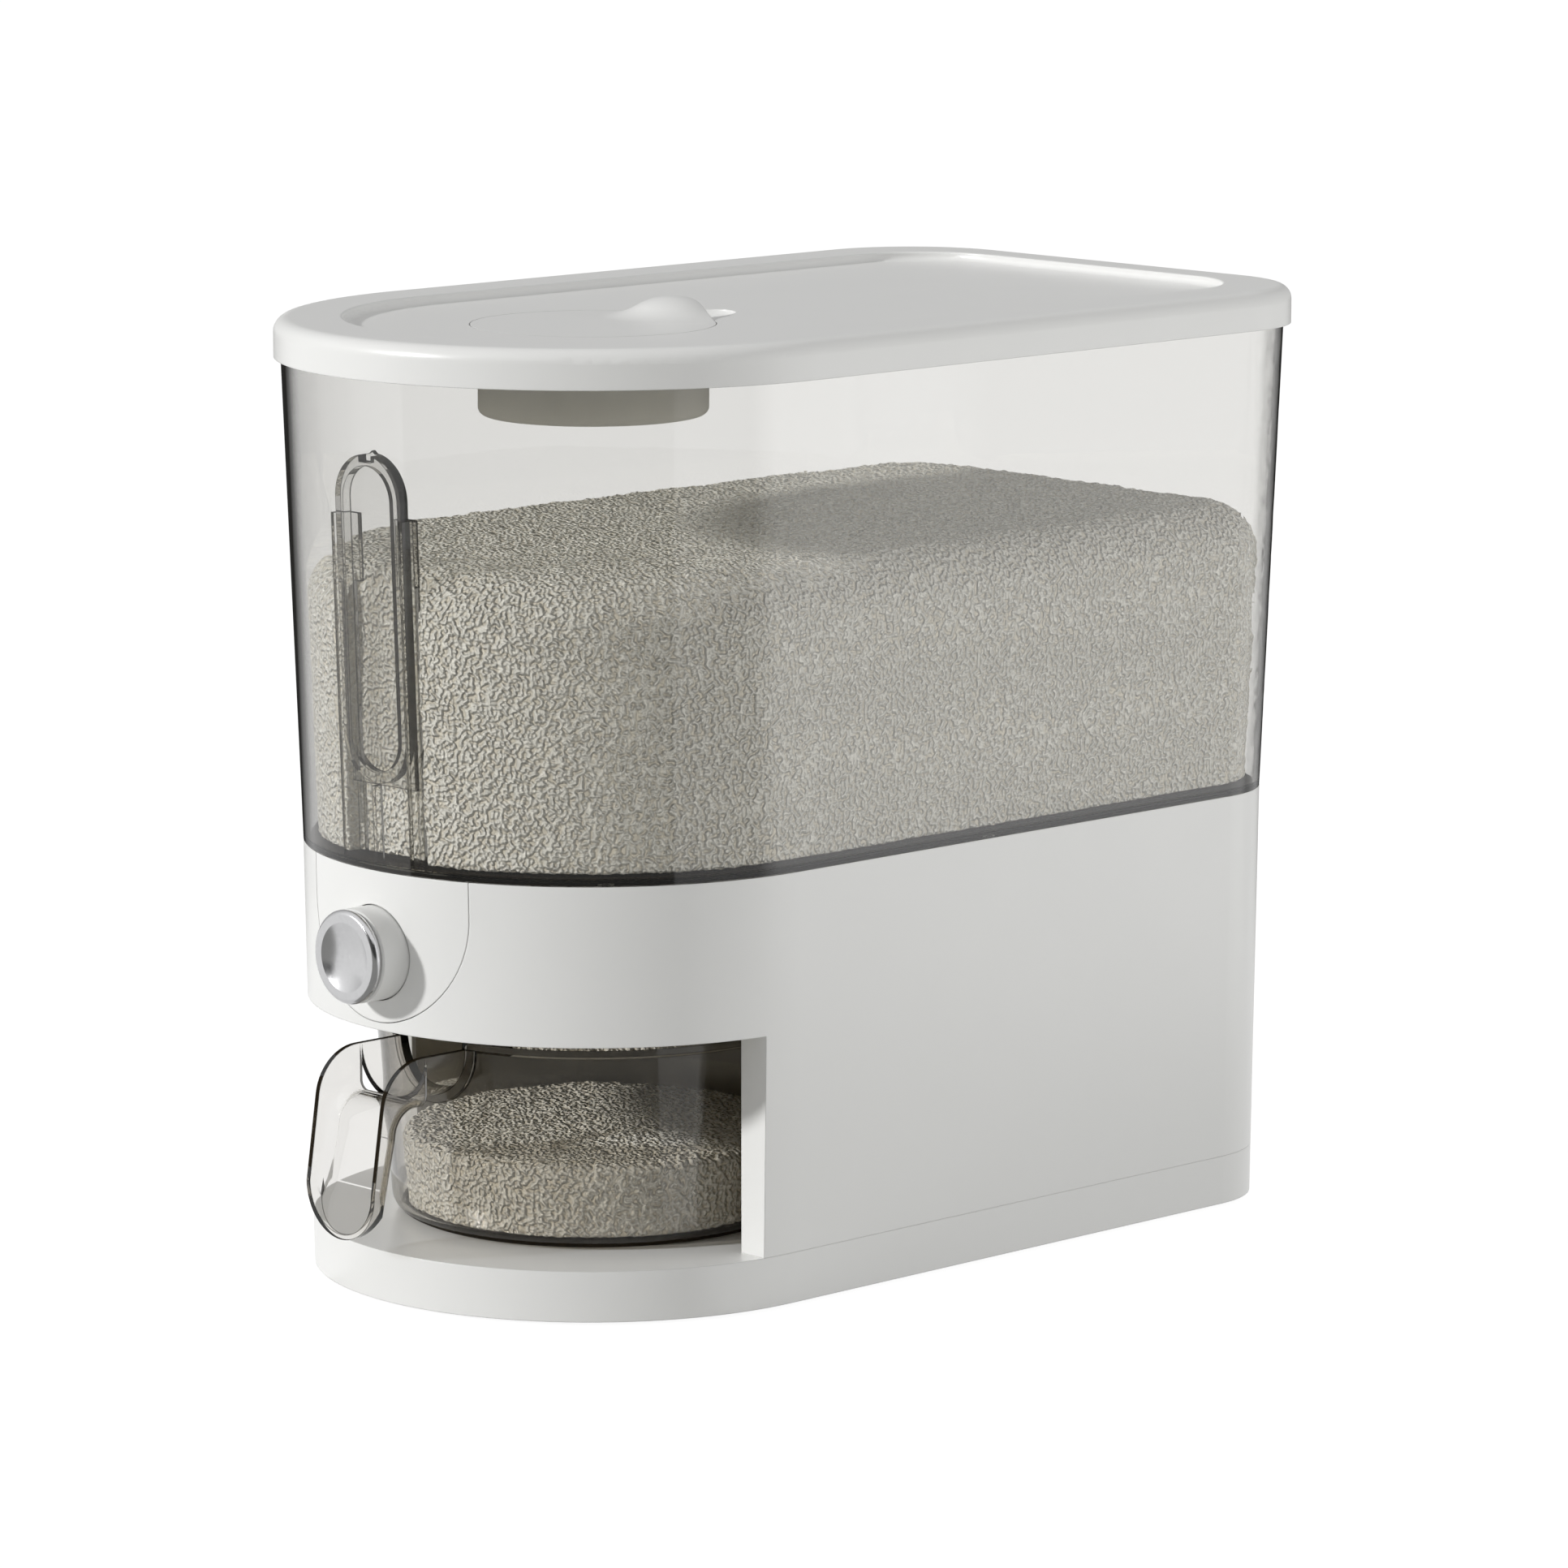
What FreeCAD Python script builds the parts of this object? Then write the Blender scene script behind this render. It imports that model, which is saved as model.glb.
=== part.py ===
"""Rice dispenser with a measuring drawer.

A clear hopper with a push-on lid stands on a white base.  A spring-loaded button in the base
pushes a gate from under the hopper's outlet, and rice falls into a clear cup that slides out
in front.  Everything is in millimetres.  The model's own axis is the centre of the round
front; +Z is up and the front looks along -Y.
"""

import FreeCAD, Part
import Sketcher
import math
import os

SIZES = {
    # outline of the foot: half width, distance to the back, and radius of the back corners;
    # then how much each of them grows to the joint, to the brim and to the lid
    "foot_half": 97.7,
    "foot_rear": 248.3,
    "foot_corner": 36.0,
    "base_flare": 2.3,
    "base_flare_rear": 1.2,
    "base_flare_corner": 1.5,
    "hopper_flare": 5.9,
    "hopper_flare_rear": 6.2,
    "hopper_flare_corner": 4.5,
    "lid_proud": 2.4,
    "lid_proud_rear": 3.2,
    "lid_proud_corner": 3.0,
    # heights above the underside of the base plate, and steps up from the joint
    "foot_proud": 1.0,
    "base_height": 17.4,
    "joint_height": 148.0,
    "hopper_rise": 165.4,
    "lid_gap": 0.8,
    "lid_depth": 13.4,
    # wall thicknesses and general clearances
    "wall": 2.6,
    "plate": 2.4,
    "clear_wall": 2.4,
    "running_gap": 0.35,
    "seam": 0.28,
    "lap": 0.3,
    "snug": 0.05,
    # base plate, its ribs, feet and screws
    "rib": 1.6,
    "rib_recess": 2.0,
    "rib_spacing": 52.0,
    "foot_radius": 8.0,
    "foot_seat": 1.2,
    "foot_inset": 31.7,
    "foot_front": 52.0,
    "foot_back_inset": 52.3,
    "post_radius": 4.4,
    "post_height": 30.0,
    "post_inset": 6.1,
    "post_front": 36.0,
    "post_middle": 150.0,
    "post_back_step": 5.7,
    "post_back_inset": 6.2,
    "screw_radius": 1.5,
    "screw_head_radius": 3.0,
    "screw_head": 2.0,
    "screw_length": 14.0,
    # drawer bay in the front of the housing
    "bay_inset": 10.7,
    "bay_liner": 2.4,
    "bay_front": 12.4,
    "ceiling_drop": 54.4,
    # ledge that carries the funnel and the hopper
    "ledge_drop": 8.0,
    "ledge_thickness": 2.5,
    "ledge_opening": 18.0,
    "flange_thickness": 2.4,
    "hopper_boss_inset": 8.0,
    "hopper_boss_radius": 4.0,
    "boss_front_angle": 50.0,
    "boss_side": 95.0,
    "boss_back_step": 4.5,
    "seal_gap": 0.8,
    "seal_width": 4.0,
    # cover panel and push button
    "panel_half": 39.3,
    "panel_rise": 15.4,
    "panel_flange": 4.0,
    "panel_flange_wall": 1.8,
    "prism_start": 52.0,
    "button_drop": 28.0,
    "button_radius": 16.0,
    "button_wall": 2.0,
    "button_head": 3.0,
    "button_proud": 15.3,
    "cap_depth": 3.6,
    "dish_radius": 11.8,
    "dish_depth": 2.2,
    "tail_inset": 2.2,
    "button_travel": 10.0,
    "stem_radius": 4.6,
    "barrel_wall": 2.4,
    "barrel_inset": 5.3,
    "gusset_length": 4.8,
    "barrel_floor_inset": 18.2,
    "barrel_floor_wall": 2.0,
    "barrel_gap": 1.5,
    "barrel_plate_low": 19.0,
    "barrel_boss_inset": 6.5,
    "barrel_boss_rise": 11.0,
    "barrel_boss_radius": 3.4,
    "barrel_boss_length": 5.0,
    "spring_radius": 8.4,
    "spring_wire": 0.7,
    "spring_turns": 5.0,
    # gate, its track and the outlet above the cup
    "outlet_half": 22.0,
    "outlet_reach": 5.0,
    "gate_half": 29.7,
    "gate_rise": 0.3,
    "gate_thickness": 2.4,
    "gate_back": 20.0,
    "arm_half": 11.0,
    "arm_thickness": 3.0,
    "arm_above": 8.0,
    "track_clear": 19.5,
    "track_back": 34.0,
    "track_half": 46.0,
    "track_screw_x": 40.5,
    "track_screw_inset": 9.0,
    "guide_width": 3.4,
    "guide_lip": 3.0,
    "guide_lip_height": 2.0,
    # funnel mouth
    "mouth_inset": 30.0,
    "mouth_front": 34.0,
    "mouth_back_inset": 25.5,
    # slide-in holder inside the front of the hopper, and its rails
    "holder_half": 15.4,
    "holder_plate": 1.5,
    "holder_depth": 4.6,
    "holder_gap": 1.75,
    "reference_drop": 19.0,
    "holder_lift": 25.6,
    "holder_drop": 24.4,
    "holder_arch": 31.0,
    "frame_inset": 1.2,
    "frame_drop": 1.0,
    "frame_width": 3.8,
    "frame_notch": 3.0,
    "frame_notch_depth": 2.6,
    "rail_gap": 0.6,
    "rail_wall": 1.5,
    "rail_lip": 2.6,
    "rail_drop": 22.0,
    "tongue_lip": 6.2,
    "tongue_height": 23.0,
    "stop_width": 1.6,
    "stop_hold": 1.6,
    # lid, its recess and its plug
    "lid_round": 5.0,
    "lid_wall": 2.1,
    "lid_plate": 2.4,
    "recess_inset": 23.3,
    "recess_inset_rear": 17.9,
    "recess_inset_corner": 12.0,
    "recess_depth": 3.2,
    "recess_cove": 2.1,
    "recess_lip": 0.7,
    "plug_gap": 2.4,
    "plug_wall": 1.8,
    "plug_depth": 8.0,
    "lid_seal_height": 3.2,
    "scoop_half": 13.5,
    "scoop_reach": 21.0,
    "scoop_depth": 4.0,
    "scoop_pad": 21.0,
    # desiccant compartment
    "cover_radius": 41.7,
    "cover_thickness": 2.7,
    "cover_seal_width": 2.0,
    "cover_plug_wall": 1.8,
    "cover_plug_depth": 5.0,
    "cover_seal_height": 2.0,
    "tab_inset": 5.2,
    "tab_radius": 25.0,
    "tab_rise": 6.8,
    "box_step": 2.4,
    "box_wall": 1.7,
    "box_lip": 1.2,
    "box_round": 2.6,
    "box_depth": 27.55,
    "pack_height": 9.0,
    "pack_gap": 3.0,
    # measuring cup and its handle
    "cup_lift": 0.3,
    "cup_inset": 16.1,
    "cup_round": 7.0,
    "cup_gap": 11.0,
    "cup_headroom": 4.8,
    "cup_lip_height": 4.0,
    "cup_lip": 0.9,
    "cup_wall": 2.2,
    "grip_half": 17.6,
    "grip_wall": 1.8,
    "grip_drop": 3.1,
    "grip_bend_inset": 21.7,
    "grip_bend": 17.5,
    "grip_back_lean": 4.0,
    "handle_proud": 18.0,
    "shoulder_drop": 14.9,
    "shoulder_inset": 4.4,
    "grip_clear": 6.7,
    "grip_depth": 8.0,
    "trough_bend": 9.0,
    "grip_round": 5.0,
    "collar_width": 3.0,
    "collar_proud": 1.6,
    # rice in the hopper and in the cup
    "rice_inset": 4.8,
    "rice_drop": 62.8,
    "rice_round": 21.0,
    "rice_gap": 0.3,
    "rice_notch": 19.0,
    "rice_notch_gap": 7.4,
    "cup_rice_depth": 30.1,
    "cup_rice_gap": 3.0,
    "cup_rice_round": 4.5,
}

doc = FreeCAD.newDocument("RiceDispenser")
Vector = FreeCAD.Vector


class Size(float):
    """A length that also remembers the sheet formula it comes from."""

    def __new__(cls, value, formula):
        size = float.__new__(cls, value)
        size.formula = formula
        return size

    def __add__(self, other):
        return Size(float(self) + float(other), f"({self.formula} + {formula_of(other)})")

    def __radd__(self, other):
        return Size(float(other) + float(self), f"({formula_of(other)} + {self.formula})")

    def __sub__(self, other):
        return Size(float(self) - float(other), f"({self.formula} - {formula_of(other)})")

    def __rsub__(self, other):
        return Size(float(other) - float(self), f"({formula_of(other)} - {self.formula})")

    def __mul__(self, other):
        return Size(float(self) * float(other), f"({self.formula} * {formula_of(other)})")

    def __rmul__(self, other):
        return self * other

    def __truediv__(self, other):
        return Size(float(self) / float(other), f"({self.formula} / {formula_of(other)})")

    def __neg__(self):
        return Size(-float(self), f"(-{self.formula})")


def formula_of(value):
    return getattr(value, "formula", f"({float(value)!r})")


def sine(angle):
    return Size(math.sin(math.radians(angle)), f"sin({formula_of(angle)} * 1 deg)")


def cosine(angle):
    return Size(math.cos(math.radians(angle)), f"cos({formula_of(angle)} * 1 deg)")


def root(value):
    return Size(math.sqrt(value), f"sqrt({formula_of(value)})")


def fill_sheet(sizes):
    """Write each size into its own named cell and hand back the sizes by name."""
    sheet = doc.addObject("Spreadsheet::Sheet", "Dims")
    for row, (name, value) in enumerate(sizes.items(), start=1):
        sheet.set(f"A{row}", name)
        sheet.set(f"B{row}", str(value))
        sheet.setAlias(f"B{row}", name)
    doc.recompute()
    return {name: Size(float(sheet.get(name)), "Dims." + name) for name in sizes}


class Sizes:
    def __init__(self, sizes):
        self.__dict__.update(fill_sheet(sizes))


d = Sizes(SIZES)


def bind(thing, path, size):
    if isinstance(size, Size):
        thing.setExpression(path, size.formula)


# --- sizes that follow another piece, each by a named step from it ----------------------

d.joint_half = d.foot_half + d.base_flare
d.joint_rear = d.foot_rear + d.base_flare_rear
d.joint_corner = d.foot_corner + d.base_flare_corner
d.brim_half = d.joint_half + d.hopper_flare
d.brim_rear = d.joint_rear + d.hopper_flare_rear
d.brim_corner = d.joint_corner + d.hopper_flare_corner
d.lid_half = d.brim_half + d.lid_proud
d.lid_rear = d.brim_rear + d.lid_proud_rear
d.lid_corner = d.brim_corner + d.lid_proud_corner
d.recess_half = d.lid_half - d.recess_inset
d.recess_rear = d.lid_rear - d.recess_inset_rear
d.recess_corner = d.lid_corner - d.recess_inset_corner
d.brim_height = d.joint_height + d.hopper_rise
d.lid_height = d.brim_height + d.lid_depth
d.hopper_height = d.lid_height - d.recess_depth - d.lid_plate - d.lid_gap

d.foot_x = d.foot_half - d.foot_inset
d.foot_back = d.foot_rear - d.foot_back_inset
d.post_x = d.foot_half - d.post_inset
d.post_back_x = d.foot_half - d.foot_corner - d.post_back_step
d.boss_back_x = d.joint_half - d.joint_corner - d.boss_back_step
d.bay_radius = d.foot_half - d.bay_inset
d.bay_ceiling = d.joint_height - d.ceiling_drop
d.ledge_height = d.joint_height - d.ledge_drop
d.mouth_half = d.joint_half - d.mouth_inset
d.mouth_back = d.joint_rear - d.mouth_back_inset

d.button_height = d.joint_height - d.button_drop
d.panel_round = d.button_height + d.panel_rise
d.button_front = d.foot_half + d.button_proud
d.barrel_front = d.foot_half - d.barrel_inset
d.button_tail = d.barrel_front - d.tail_inset
d.barrel_floor = d.foot_half - d.barrel_floor_inset
d.barrel_boss_root = d.barrel_floor + d.barrel_boss_length
d.track_front = d.barrel_floor - d.track_clear

d.holder_top = d.brim_height - d.holder_drop
d.holder_bottom = d.joint_height + d.flange_thickness + d.holder_lift
d.holder_reference = d.holder_top - d.reference_drop
flare_share = (d.holder_reference - d.joint_height) / d.hopper_rise
d.holder_wall = d.joint_half + d.hopper_flare * flare_share - d.clear_wall
d.holder_front = d.holder_wall - d.holder_gap
d.holder_back = d.holder_front - d.holder_depth
d.frame_bottom = d.holder_bottom + d.frame_inset
d.frame_top = d.holder_top - d.frame_drop
d.rail_top = d.holder_top - d.rail_drop
d.rail_root = d.holder_wall - d.running_gap
d.tongue_low = d.rail_top - d.tongue_height
d.stop_back = d.holder_front - d.stop_hold
d.rice_top = d.brim_height - d.rice_drop
d.rice_notch_reach = d.holder_back - d.rice_notch_gap

d.box_radius = d.cover_radius - d.box_step
d.cover_plug_radius = d.box_radius - d.box_wall - d.cover_seal_width
d.tab_peak = d.cover_radius - d.tab_inset

d.cup_foot = d.bay_radius - d.cup_inset
d.cup_mouth = d.bay_radius - d.cup_gap
d.cup_top = d.bay_ceiling - d.cup_headroom
d.cup_rice_top = d.base_height + d.cup_lift + d.cup_rice_depth
d.handle_reach = d.foot_half + d.handle_proud
d.grip_level = d.cup_top - d.grip_drop
d.grip_bend_start = d.handle_reach - d.grip_bend_inset
d.grip_shoulder = d.grip_level - d.shoulder_drop
d.grip_shoulder_reach = d.handle_reach - d.shoulder_inset
d.grip_bottom = d.base_height + d.grip_clear


class Plan:
    """The body's outline at one level: round front, straight sides, rounded back corners."""

    def __init__(self, half, rear, corner):
        self.half = half
        self.rear = rear
        self.corner = corner

    def inset(self, step):
        return Plan(self.half - step, self.rear - step, self.corner - step)

    def towards(self, other, share):
        return Plan(
            self.half + (other.half - self.half) * share,
            self.rear + (other.rear - self.rear) * share,
            self.corner + (other.corner - self.corner) * share,
        )


foot_plan = Plan(d.foot_half, d.foot_rear, d.foot_corner)
joint_plan = Plan(d.joint_half, d.joint_rear, d.joint_corner)
brim_plan = Plan(d.brim_half, d.brim_rear, d.brim_corner)
lid_plan = Plan(d.lid_half, d.lid_rear, d.lid_corner)
recess_plan = Plan(d.recess_half, d.recess_rear, d.recess_corner)


def base_plan(height):
    """Outline of the drafted base at a height."""
    return foot_plan.towards(joint_plan, height / d.joint_height)


def hopper_plan(height):
    """Outline of the hopper's outer face at a height."""
    rise = d.brim_height - d.joint_height
    return joint_plan.towards(brim_plan, (height - d.joint_height) / rise)


def hopper_inside(height):
    return hopper_plan(height).inset(d.clear_wall)


# how each origin plane's own axes lie in the model: the sign turns a place along the model's
# axis into an offset along the plane's normal
PLANE_NORMAL = {"XY_Plane": 1, "XZ_Plane": -1, "YZ_Plane": 1}


class Drawing:
    """A sketch on one of a body's origin planes, with every corner tied to the sheet."""

    def __init__(self, body, role, place=0.0):
        self.role = role
        self.sketch = body.newObject("Sketcher::SketchObject", body.Name + "_sketch")
        planes = [f for f in body.Origin.OriginFeatures if f.Role == role]
        self.sketch.AttachmentSupport = [(planes[0], "")]
        self.sketch.MapMode = "FlatFace"
        offset = place * PLANE_NORMAL[role]
        self.sketch.AttachmentOffset = FreeCAD.Placement(
            Vector(0, 0, float(offset)), FreeCAD.Rotation()
        )
        bind(self.sketch, "AttachmentOffset.Base.z", offset)

    def pin(self, kind, *references):
        """Add a constraint; a size at the end is tied to the sheet."""
        size = references[-1]
        if isinstance(size, float):
            index = self.sketch.addConstraint(
                Sketcher.Constraint(kind, *references[:-1], float(size))
            )
            bind(self.sketch, f"Constraints[{index}]", size)
            return
        self.sketch.addConstraint(Sketcher.Constraint(kind, *references))

    def pin_point(self, index, end, x, y):
        self.pin_along("DistanceX", 1, index, end, x)
        self.pin_along("DistanceY", 0, index, end, y)

    def pin_along(self, kind, axis, index, end, value):
        if float(value) == 0.0:
            line = -2 if kind == "DistanceX" else -1
            self.pin("PointOnObject", index, end, line)
        elif float(value) > 0.0:
            self.pin(kind, -1, 1, index, end, value)
        else:
            self.pin(kind, index, end, -1, 1, -value)

    def circle(self, x, y, radius):
        shape = Part.Circle(Vector(float(x), float(y), 0), Vector(0, 0, 1), float(radius))
        index = self.sketch.addGeometry(shape, False)
        self.pin("Radius", index, radius)
        self.pin_point(index, 3, x, y)
        return self

    def plan(self, plan):
        """Round front about the origin, two sides, two rounded corners and a straight back."""
        half, rear, corner = float(plan.half), float(plan.rear), float(plan.corner)
        side = rear - corner
        up = Vector(0, 0, 1)
        turn = math.pi / 2
        front = Part.ArcOfCircle(Part.Circle(Vector(0, 0, 0), up, half), 2 * turn, 4 * turn)
        right = Part.LineSegment(Vector(half, 0, 0), Vector(half, side, 0))
        right_corner = Part.Circle(Vector(half - corner, side, 0), up, corner)
        back = Part.LineSegment(Vector(half - corner, rear, 0), Vector(corner - half, rear, 0))
        left_corner = Part.Circle(Vector(corner - half, side, 0), up, corner)
        left = Part.LineSegment(Vector(-half, side, 0), Vector(-half, 0, 0))
        shapes = [
            front,
            right,
            Part.ArcOfCircle(right_corner, 0, turn),
            back,
            Part.ArcOfCircle(left_corner, turn, 2 * turn),
            left,
        ]
        first = self.sketch.GeometryCount
        for shape in shapes:
            self.sketch.addGeometry(shape, False)
        a, b, c, e, f, g = range(first, first + 6)
        self.pin("Coincident", a, 3, -1, 1)
        self.pin("Radius", a, plan.half)
        self.pin("PointOnObject", a, 1, -1)
        self.pin("PointOnObject", a, 2, -1)
        for left_shape, right_shape in ((a, b), (b, c), (c, e), (e, f), (f, g), (g, a)):
            self.pin("Tangent", left_shape, 2, right_shape, 1)
        self.pin("Radius", c, plan.corner)
        self.pin("Equal", c, f)
        self.pin("Horizontal", e)
        self.pin("DistanceY", -1, 1, e, 1, plan.rear)
        return self

    def path(self, points):
        """A closed outline.  A point is (x, y), or (x, y, radius, turn) where an arc arrives."""
        first = self.sketch.GeometryCount
        count = len(points)
        for index, point in enumerate(points):
            before = points[index - 1]
            start = Vector(float(before[0]), float(before[1]), 0)
            end = Vector(float(point[0]), float(point[1]), 0)
            if len(point) == 2:
                self.sketch.addGeometry(Part.LineSegment(start, end), False)
                continue
            self.sketch.addGeometry(arc_between(start, end, float(point[2]), point[3]), False)
        for index, point in enumerate(points):
            self.join(first + index, first + (index + 1) % count, points, index)
        for index, point in enumerate(points):
            end = self.far_end(point)
            self.pin_point(first + index, end, point[0], point[1])
            if len(point) == 4:
                self.pin("Radius", first + index, point[2])
        return self

    def join(self, index, after, points, place):
        """The end of one piece meets the start of the next."""
        point = points[place]
        follower = points[(place + 1) % len(points)]
        start = 1 if len(follower) == 2 or follower[3] > 0 else 2
        self.pin("Coincident", index, self.far_end(point), after, start)

    def far_end(self, point):
        return 2 if len(point) == 2 or point[3] > 0 else 1

    def box(self, left, low, right, high):
        return self.path([(left, low), (right, low), (right, high), (left, high)])

    def rounded_box(self, left, low, right, high, radius):
        return self.path(
            [
                (left + radius, low),
                (right - radius, low),
                (right, low + radius, radius, 1),
                (right, high - radius),
                (right - radius, high, radius, 1),
                (left + radius, high),
                (left, high - radius, radius, 1),
                (left, low + radius),
                (left + radius, low, radius, 1),
            ][1:]
        )


def arc_between(start, end, radius, turn):
    """The shorter arc from start to end; turn is 1 counter-clockwise and -1 clockwise."""
    chord = end - start
    middle = (start + end) * 0.5
    reach = math.sqrt(max(radius * radius - chord.Length * chord.Length / 4.0, 0.0))
    side = Vector(-chord.y, chord.x, 0).normalize() * turn
    centre = middle + side * reach
    begin, finish = (start, end) if turn > 0 else (end, start)
    first = math.atan2(begin.y - centre.y, begin.x - centre.x)
    last = math.atan2(finish.y - centre.y, finish.x - centre.x)
    if last < first:
        last += 2 * math.pi
    return Part.ArcOfCircle(Part.Circle(centre, Vector(0, 0, 1), radius), first, last)


def new_body(name):
    return doc.addObject("PartDesign::Body", name)


def sweep_straight(body, kind, drawing, depth, towards, both=False):
    """Pad or pocket a drawing by a depth; towards is the model direction, 1 or -1."""
    feature = body.newObject("PartDesign::" + kind, body.Name + "_" + kind.lower())
    feature.Profile = drawing.sketch
    feature.Length = float(depth)
    bind(feature, "Length", depth)
    if both:
        feature.SideType = "Symmetric"
    along_normal = towards * PLANE_NORMAL[drawing.role] > 0
    feature.Reversed = along_normal if kind == "Pocket" else not along_normal
    return feature


def pad(body, drawing, depth, towards=1, both=False):
    return sweep_straight(body, "Pad", drawing, depth, towards, both)


def pocket(body, drawing, depth, towards=1, both=False):
    return sweep_straight(body, "Pocket", drawing, depth, towards, both)


def loft(body, kind, lower, upper):
    feature = body.newObject("PartDesign::" + kind, body.Name + "_loft")
    feature.Profile = lower.sketch
    feature.Sections = [upper.sketch]
    feature.Ruled = True
    return feature


def drafted(body, kind, plan_at, low, high, inset=0.0, low_plan=None, high_plan=None):
    """Loft the body's outline between two heights, inset by a wall."""
    low_plan = low_plan or plan_at(low)
    high_plan = high_plan or plan_at(high)
    lower = Drawing(body, "XY_Plane", low).plan(low_plan.inset(inset))
    upper = Drawing(body, "XY_Plane", high).plan(high_plan.inset(inset))
    return loft(body, kind, lower, upper)


def turned(body, kind, drawing, axis):
    """Revolve or groove a drawing about one of its own axes."""
    feature = body.newObject("PartDesign::" + kind, body.Name + "_" + kind.lower())
    feature.Profile = drawing.sketch
    feature.ReferenceAxis = (drawing.sketch, [axis])
    feature.Angle = 360.0
    return feature


def edges_where(shape, test):
    names = []
    for index, edge in enumerate(shape.Edges, start=1):
        if test(edge):
            names.append(index)
    return names


def fillet(body, radius, test):
    """Round the edges of the body's last feature that pass a test."""
    doc.recompute()
    base = body.Tip
    names = [f"Edge{index}" for index in edges_where(base.Shape, test)]
    if not names:
        raise RuntimeError(f"{body.Name} has no edge to round")
    feature = body.newObject("PartDesign::Fillet", body.Name + "_fillet")
    feature.Base = (base, names)
    feature.Radius = float(radius)
    bind(feature, "Radius", radius)
    return feature


def lies_at(edge, height, slack=0.01):
    box = edge.BoundBox
    return abs(box.ZMin - height) < slack and abs(box.ZMax - height) < slack


def boolean(kind, name, base, tool):
    feature = doc.addObject("Part::" + kind, name)
    feature.Base = base
    feature.Tool = tool
    return feature


def group(name, members):
    """Separate solids that share one node."""
    feature = doc.addObject("Part::Compound", name)
    feature.Links = members
    return feature


def cylinder(name, radius, length, place, axis="Z"):
    """A cylinder that starts at a place and runs along +Z, -Z or -Y."""
    feature = doc.addObject("Part::Cylinder", name)
    feature.Radius = float(radius)
    bind(feature, "Radius", radius)
    feature.Height = float(length)
    bind(feature, "Height", length)
    turns = {
        "Z": FreeCAD.Rotation(),
        "-Z": FreeCAD.Rotation(Vector(1, 0, 0), 180),
        "-Y": FreeCAD.Rotation(Vector(1, 0, 0), 90),
        "Y": FreeCAD.Rotation(Vector(1, 0, 0), -90),
    }
    feature.Placement = FreeCAD.Placement(Vector(*[float(v) for v in place]), turns[axis])
    for letter, value in zip("xyz", place):
        bind(feature, "Placement.Base." + letter, value)
    return feature


def screw(name, place, length, axis):
    """A pan-head screw: the place is under its head, and the shank runs along the axis."""
    back = {"Z": "-Z", "-Z": "Z", "-Y": "Y", "Y": "-Y"}[axis]
    shank = cylinder(name + "_shank", d.screw_radius, length, place, axis)
    head = cylinder(name + "_head", d.screw_head_radius, d.screw_head, place, back)
    return boolean("Fuse", name, shank, head)


def screws(label, places, length, axis):
    members = []
    for index, place in enumerate(places, start=1):
        members.append(screw(f"{label}_{index}", place, length, axis))
    return group(label, members)


# --- places that several pieces share ---------------------------------------------------

floor_top = d.base_height
ceiling_top = d.bay_ceiling + d.plate
ledge_top = d.ledge_height + d.ledge_thickness
rim_top = ledge_top + d.ledge_thickness
flange_top = d.joint_height + d.flange_thickness
track_top = ceiling_top + d.plate
gate_low = track_top + d.gate_rise
gate_top = gate_low + d.gate_thickness
outlet_low = gate_top + d.gate_rise
lid_floor = d.lid_height - d.recess_depth
lid_under = lid_floor - d.lid_plate
cover_under = lid_floor - d.cover_thickness
box_top = cover_under - d.running_gap
box_lip_low = box_top - d.box_lip
seat_low = box_lip_low - d.running_gap
box_bottom = box_top - d.box_depth
cup_low = floor_top + d.cup_lift
trough_floor = d.grip_level - d.grip_half
arm_front = d.barrel_floor - d.barrel_floor_wall - d.running_gap
button_axis = d.button_height
barrel_inside = base_plan(button_axis - d.barrel_plate_low).half - d.wall
barrel_plate_half = (
    root(barrel_inside * barrel_inside - d.barrel_floor * d.barrel_floor) - d.barrel_gap
)
barrel_boss_x = barrel_plate_half - d.barrel_boss_inset

POST_PLACES = [
    (d.post_x * side, y)
    for side in (-1, 1)
    for y in (d.post_front, d.post_middle)
] + [(d.post_back_x * side, d.foot_rear - d.post_back_inset) for side in (-1, 1)]
FOOT_PLACES = [(d.foot_x * side, y) for side in (-1, 1) for y in (-d.foot_front, d.foot_back)]
boss_reach = d.joint_half - d.hopper_boss_inset
HOPPER_BOSSES = [
    (boss_reach * sine(d.boss_front_angle) * side, -boss_reach * cosine(d.boss_front_angle))
    for side in (-1, 1)
]
HOPPER_BOSSES += [(boss_reach * side, d.boss_side) for side in (-1, 1)]
HOPPER_BOSSES += [
    (d.boss_back_x * side, d.joint_rear - d.hopper_boss_inset) for side in (-1, 1)
]
BARREL_BOSSES = [
    (barrel_boss_x * side, button_axis + d.barrel_boss_rise * rise)
    for side in (-1, 1)
    for rise in (-1, 1)
]
TRACK_SCREWS = [
    (d.track_screw_x * side, y)
    for side in (-1, 1)
    for y in (d.track_screw_inset - d.track_front, d.track_back - d.track_screw_inset)
]


def spots(drawing, places, radius):
    for x, y in places:
        drawing.circle(x, y, radius)
    return drawing


# --- base -------------------------------------------------------------------------------

RIB_ROWS = 4


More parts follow.
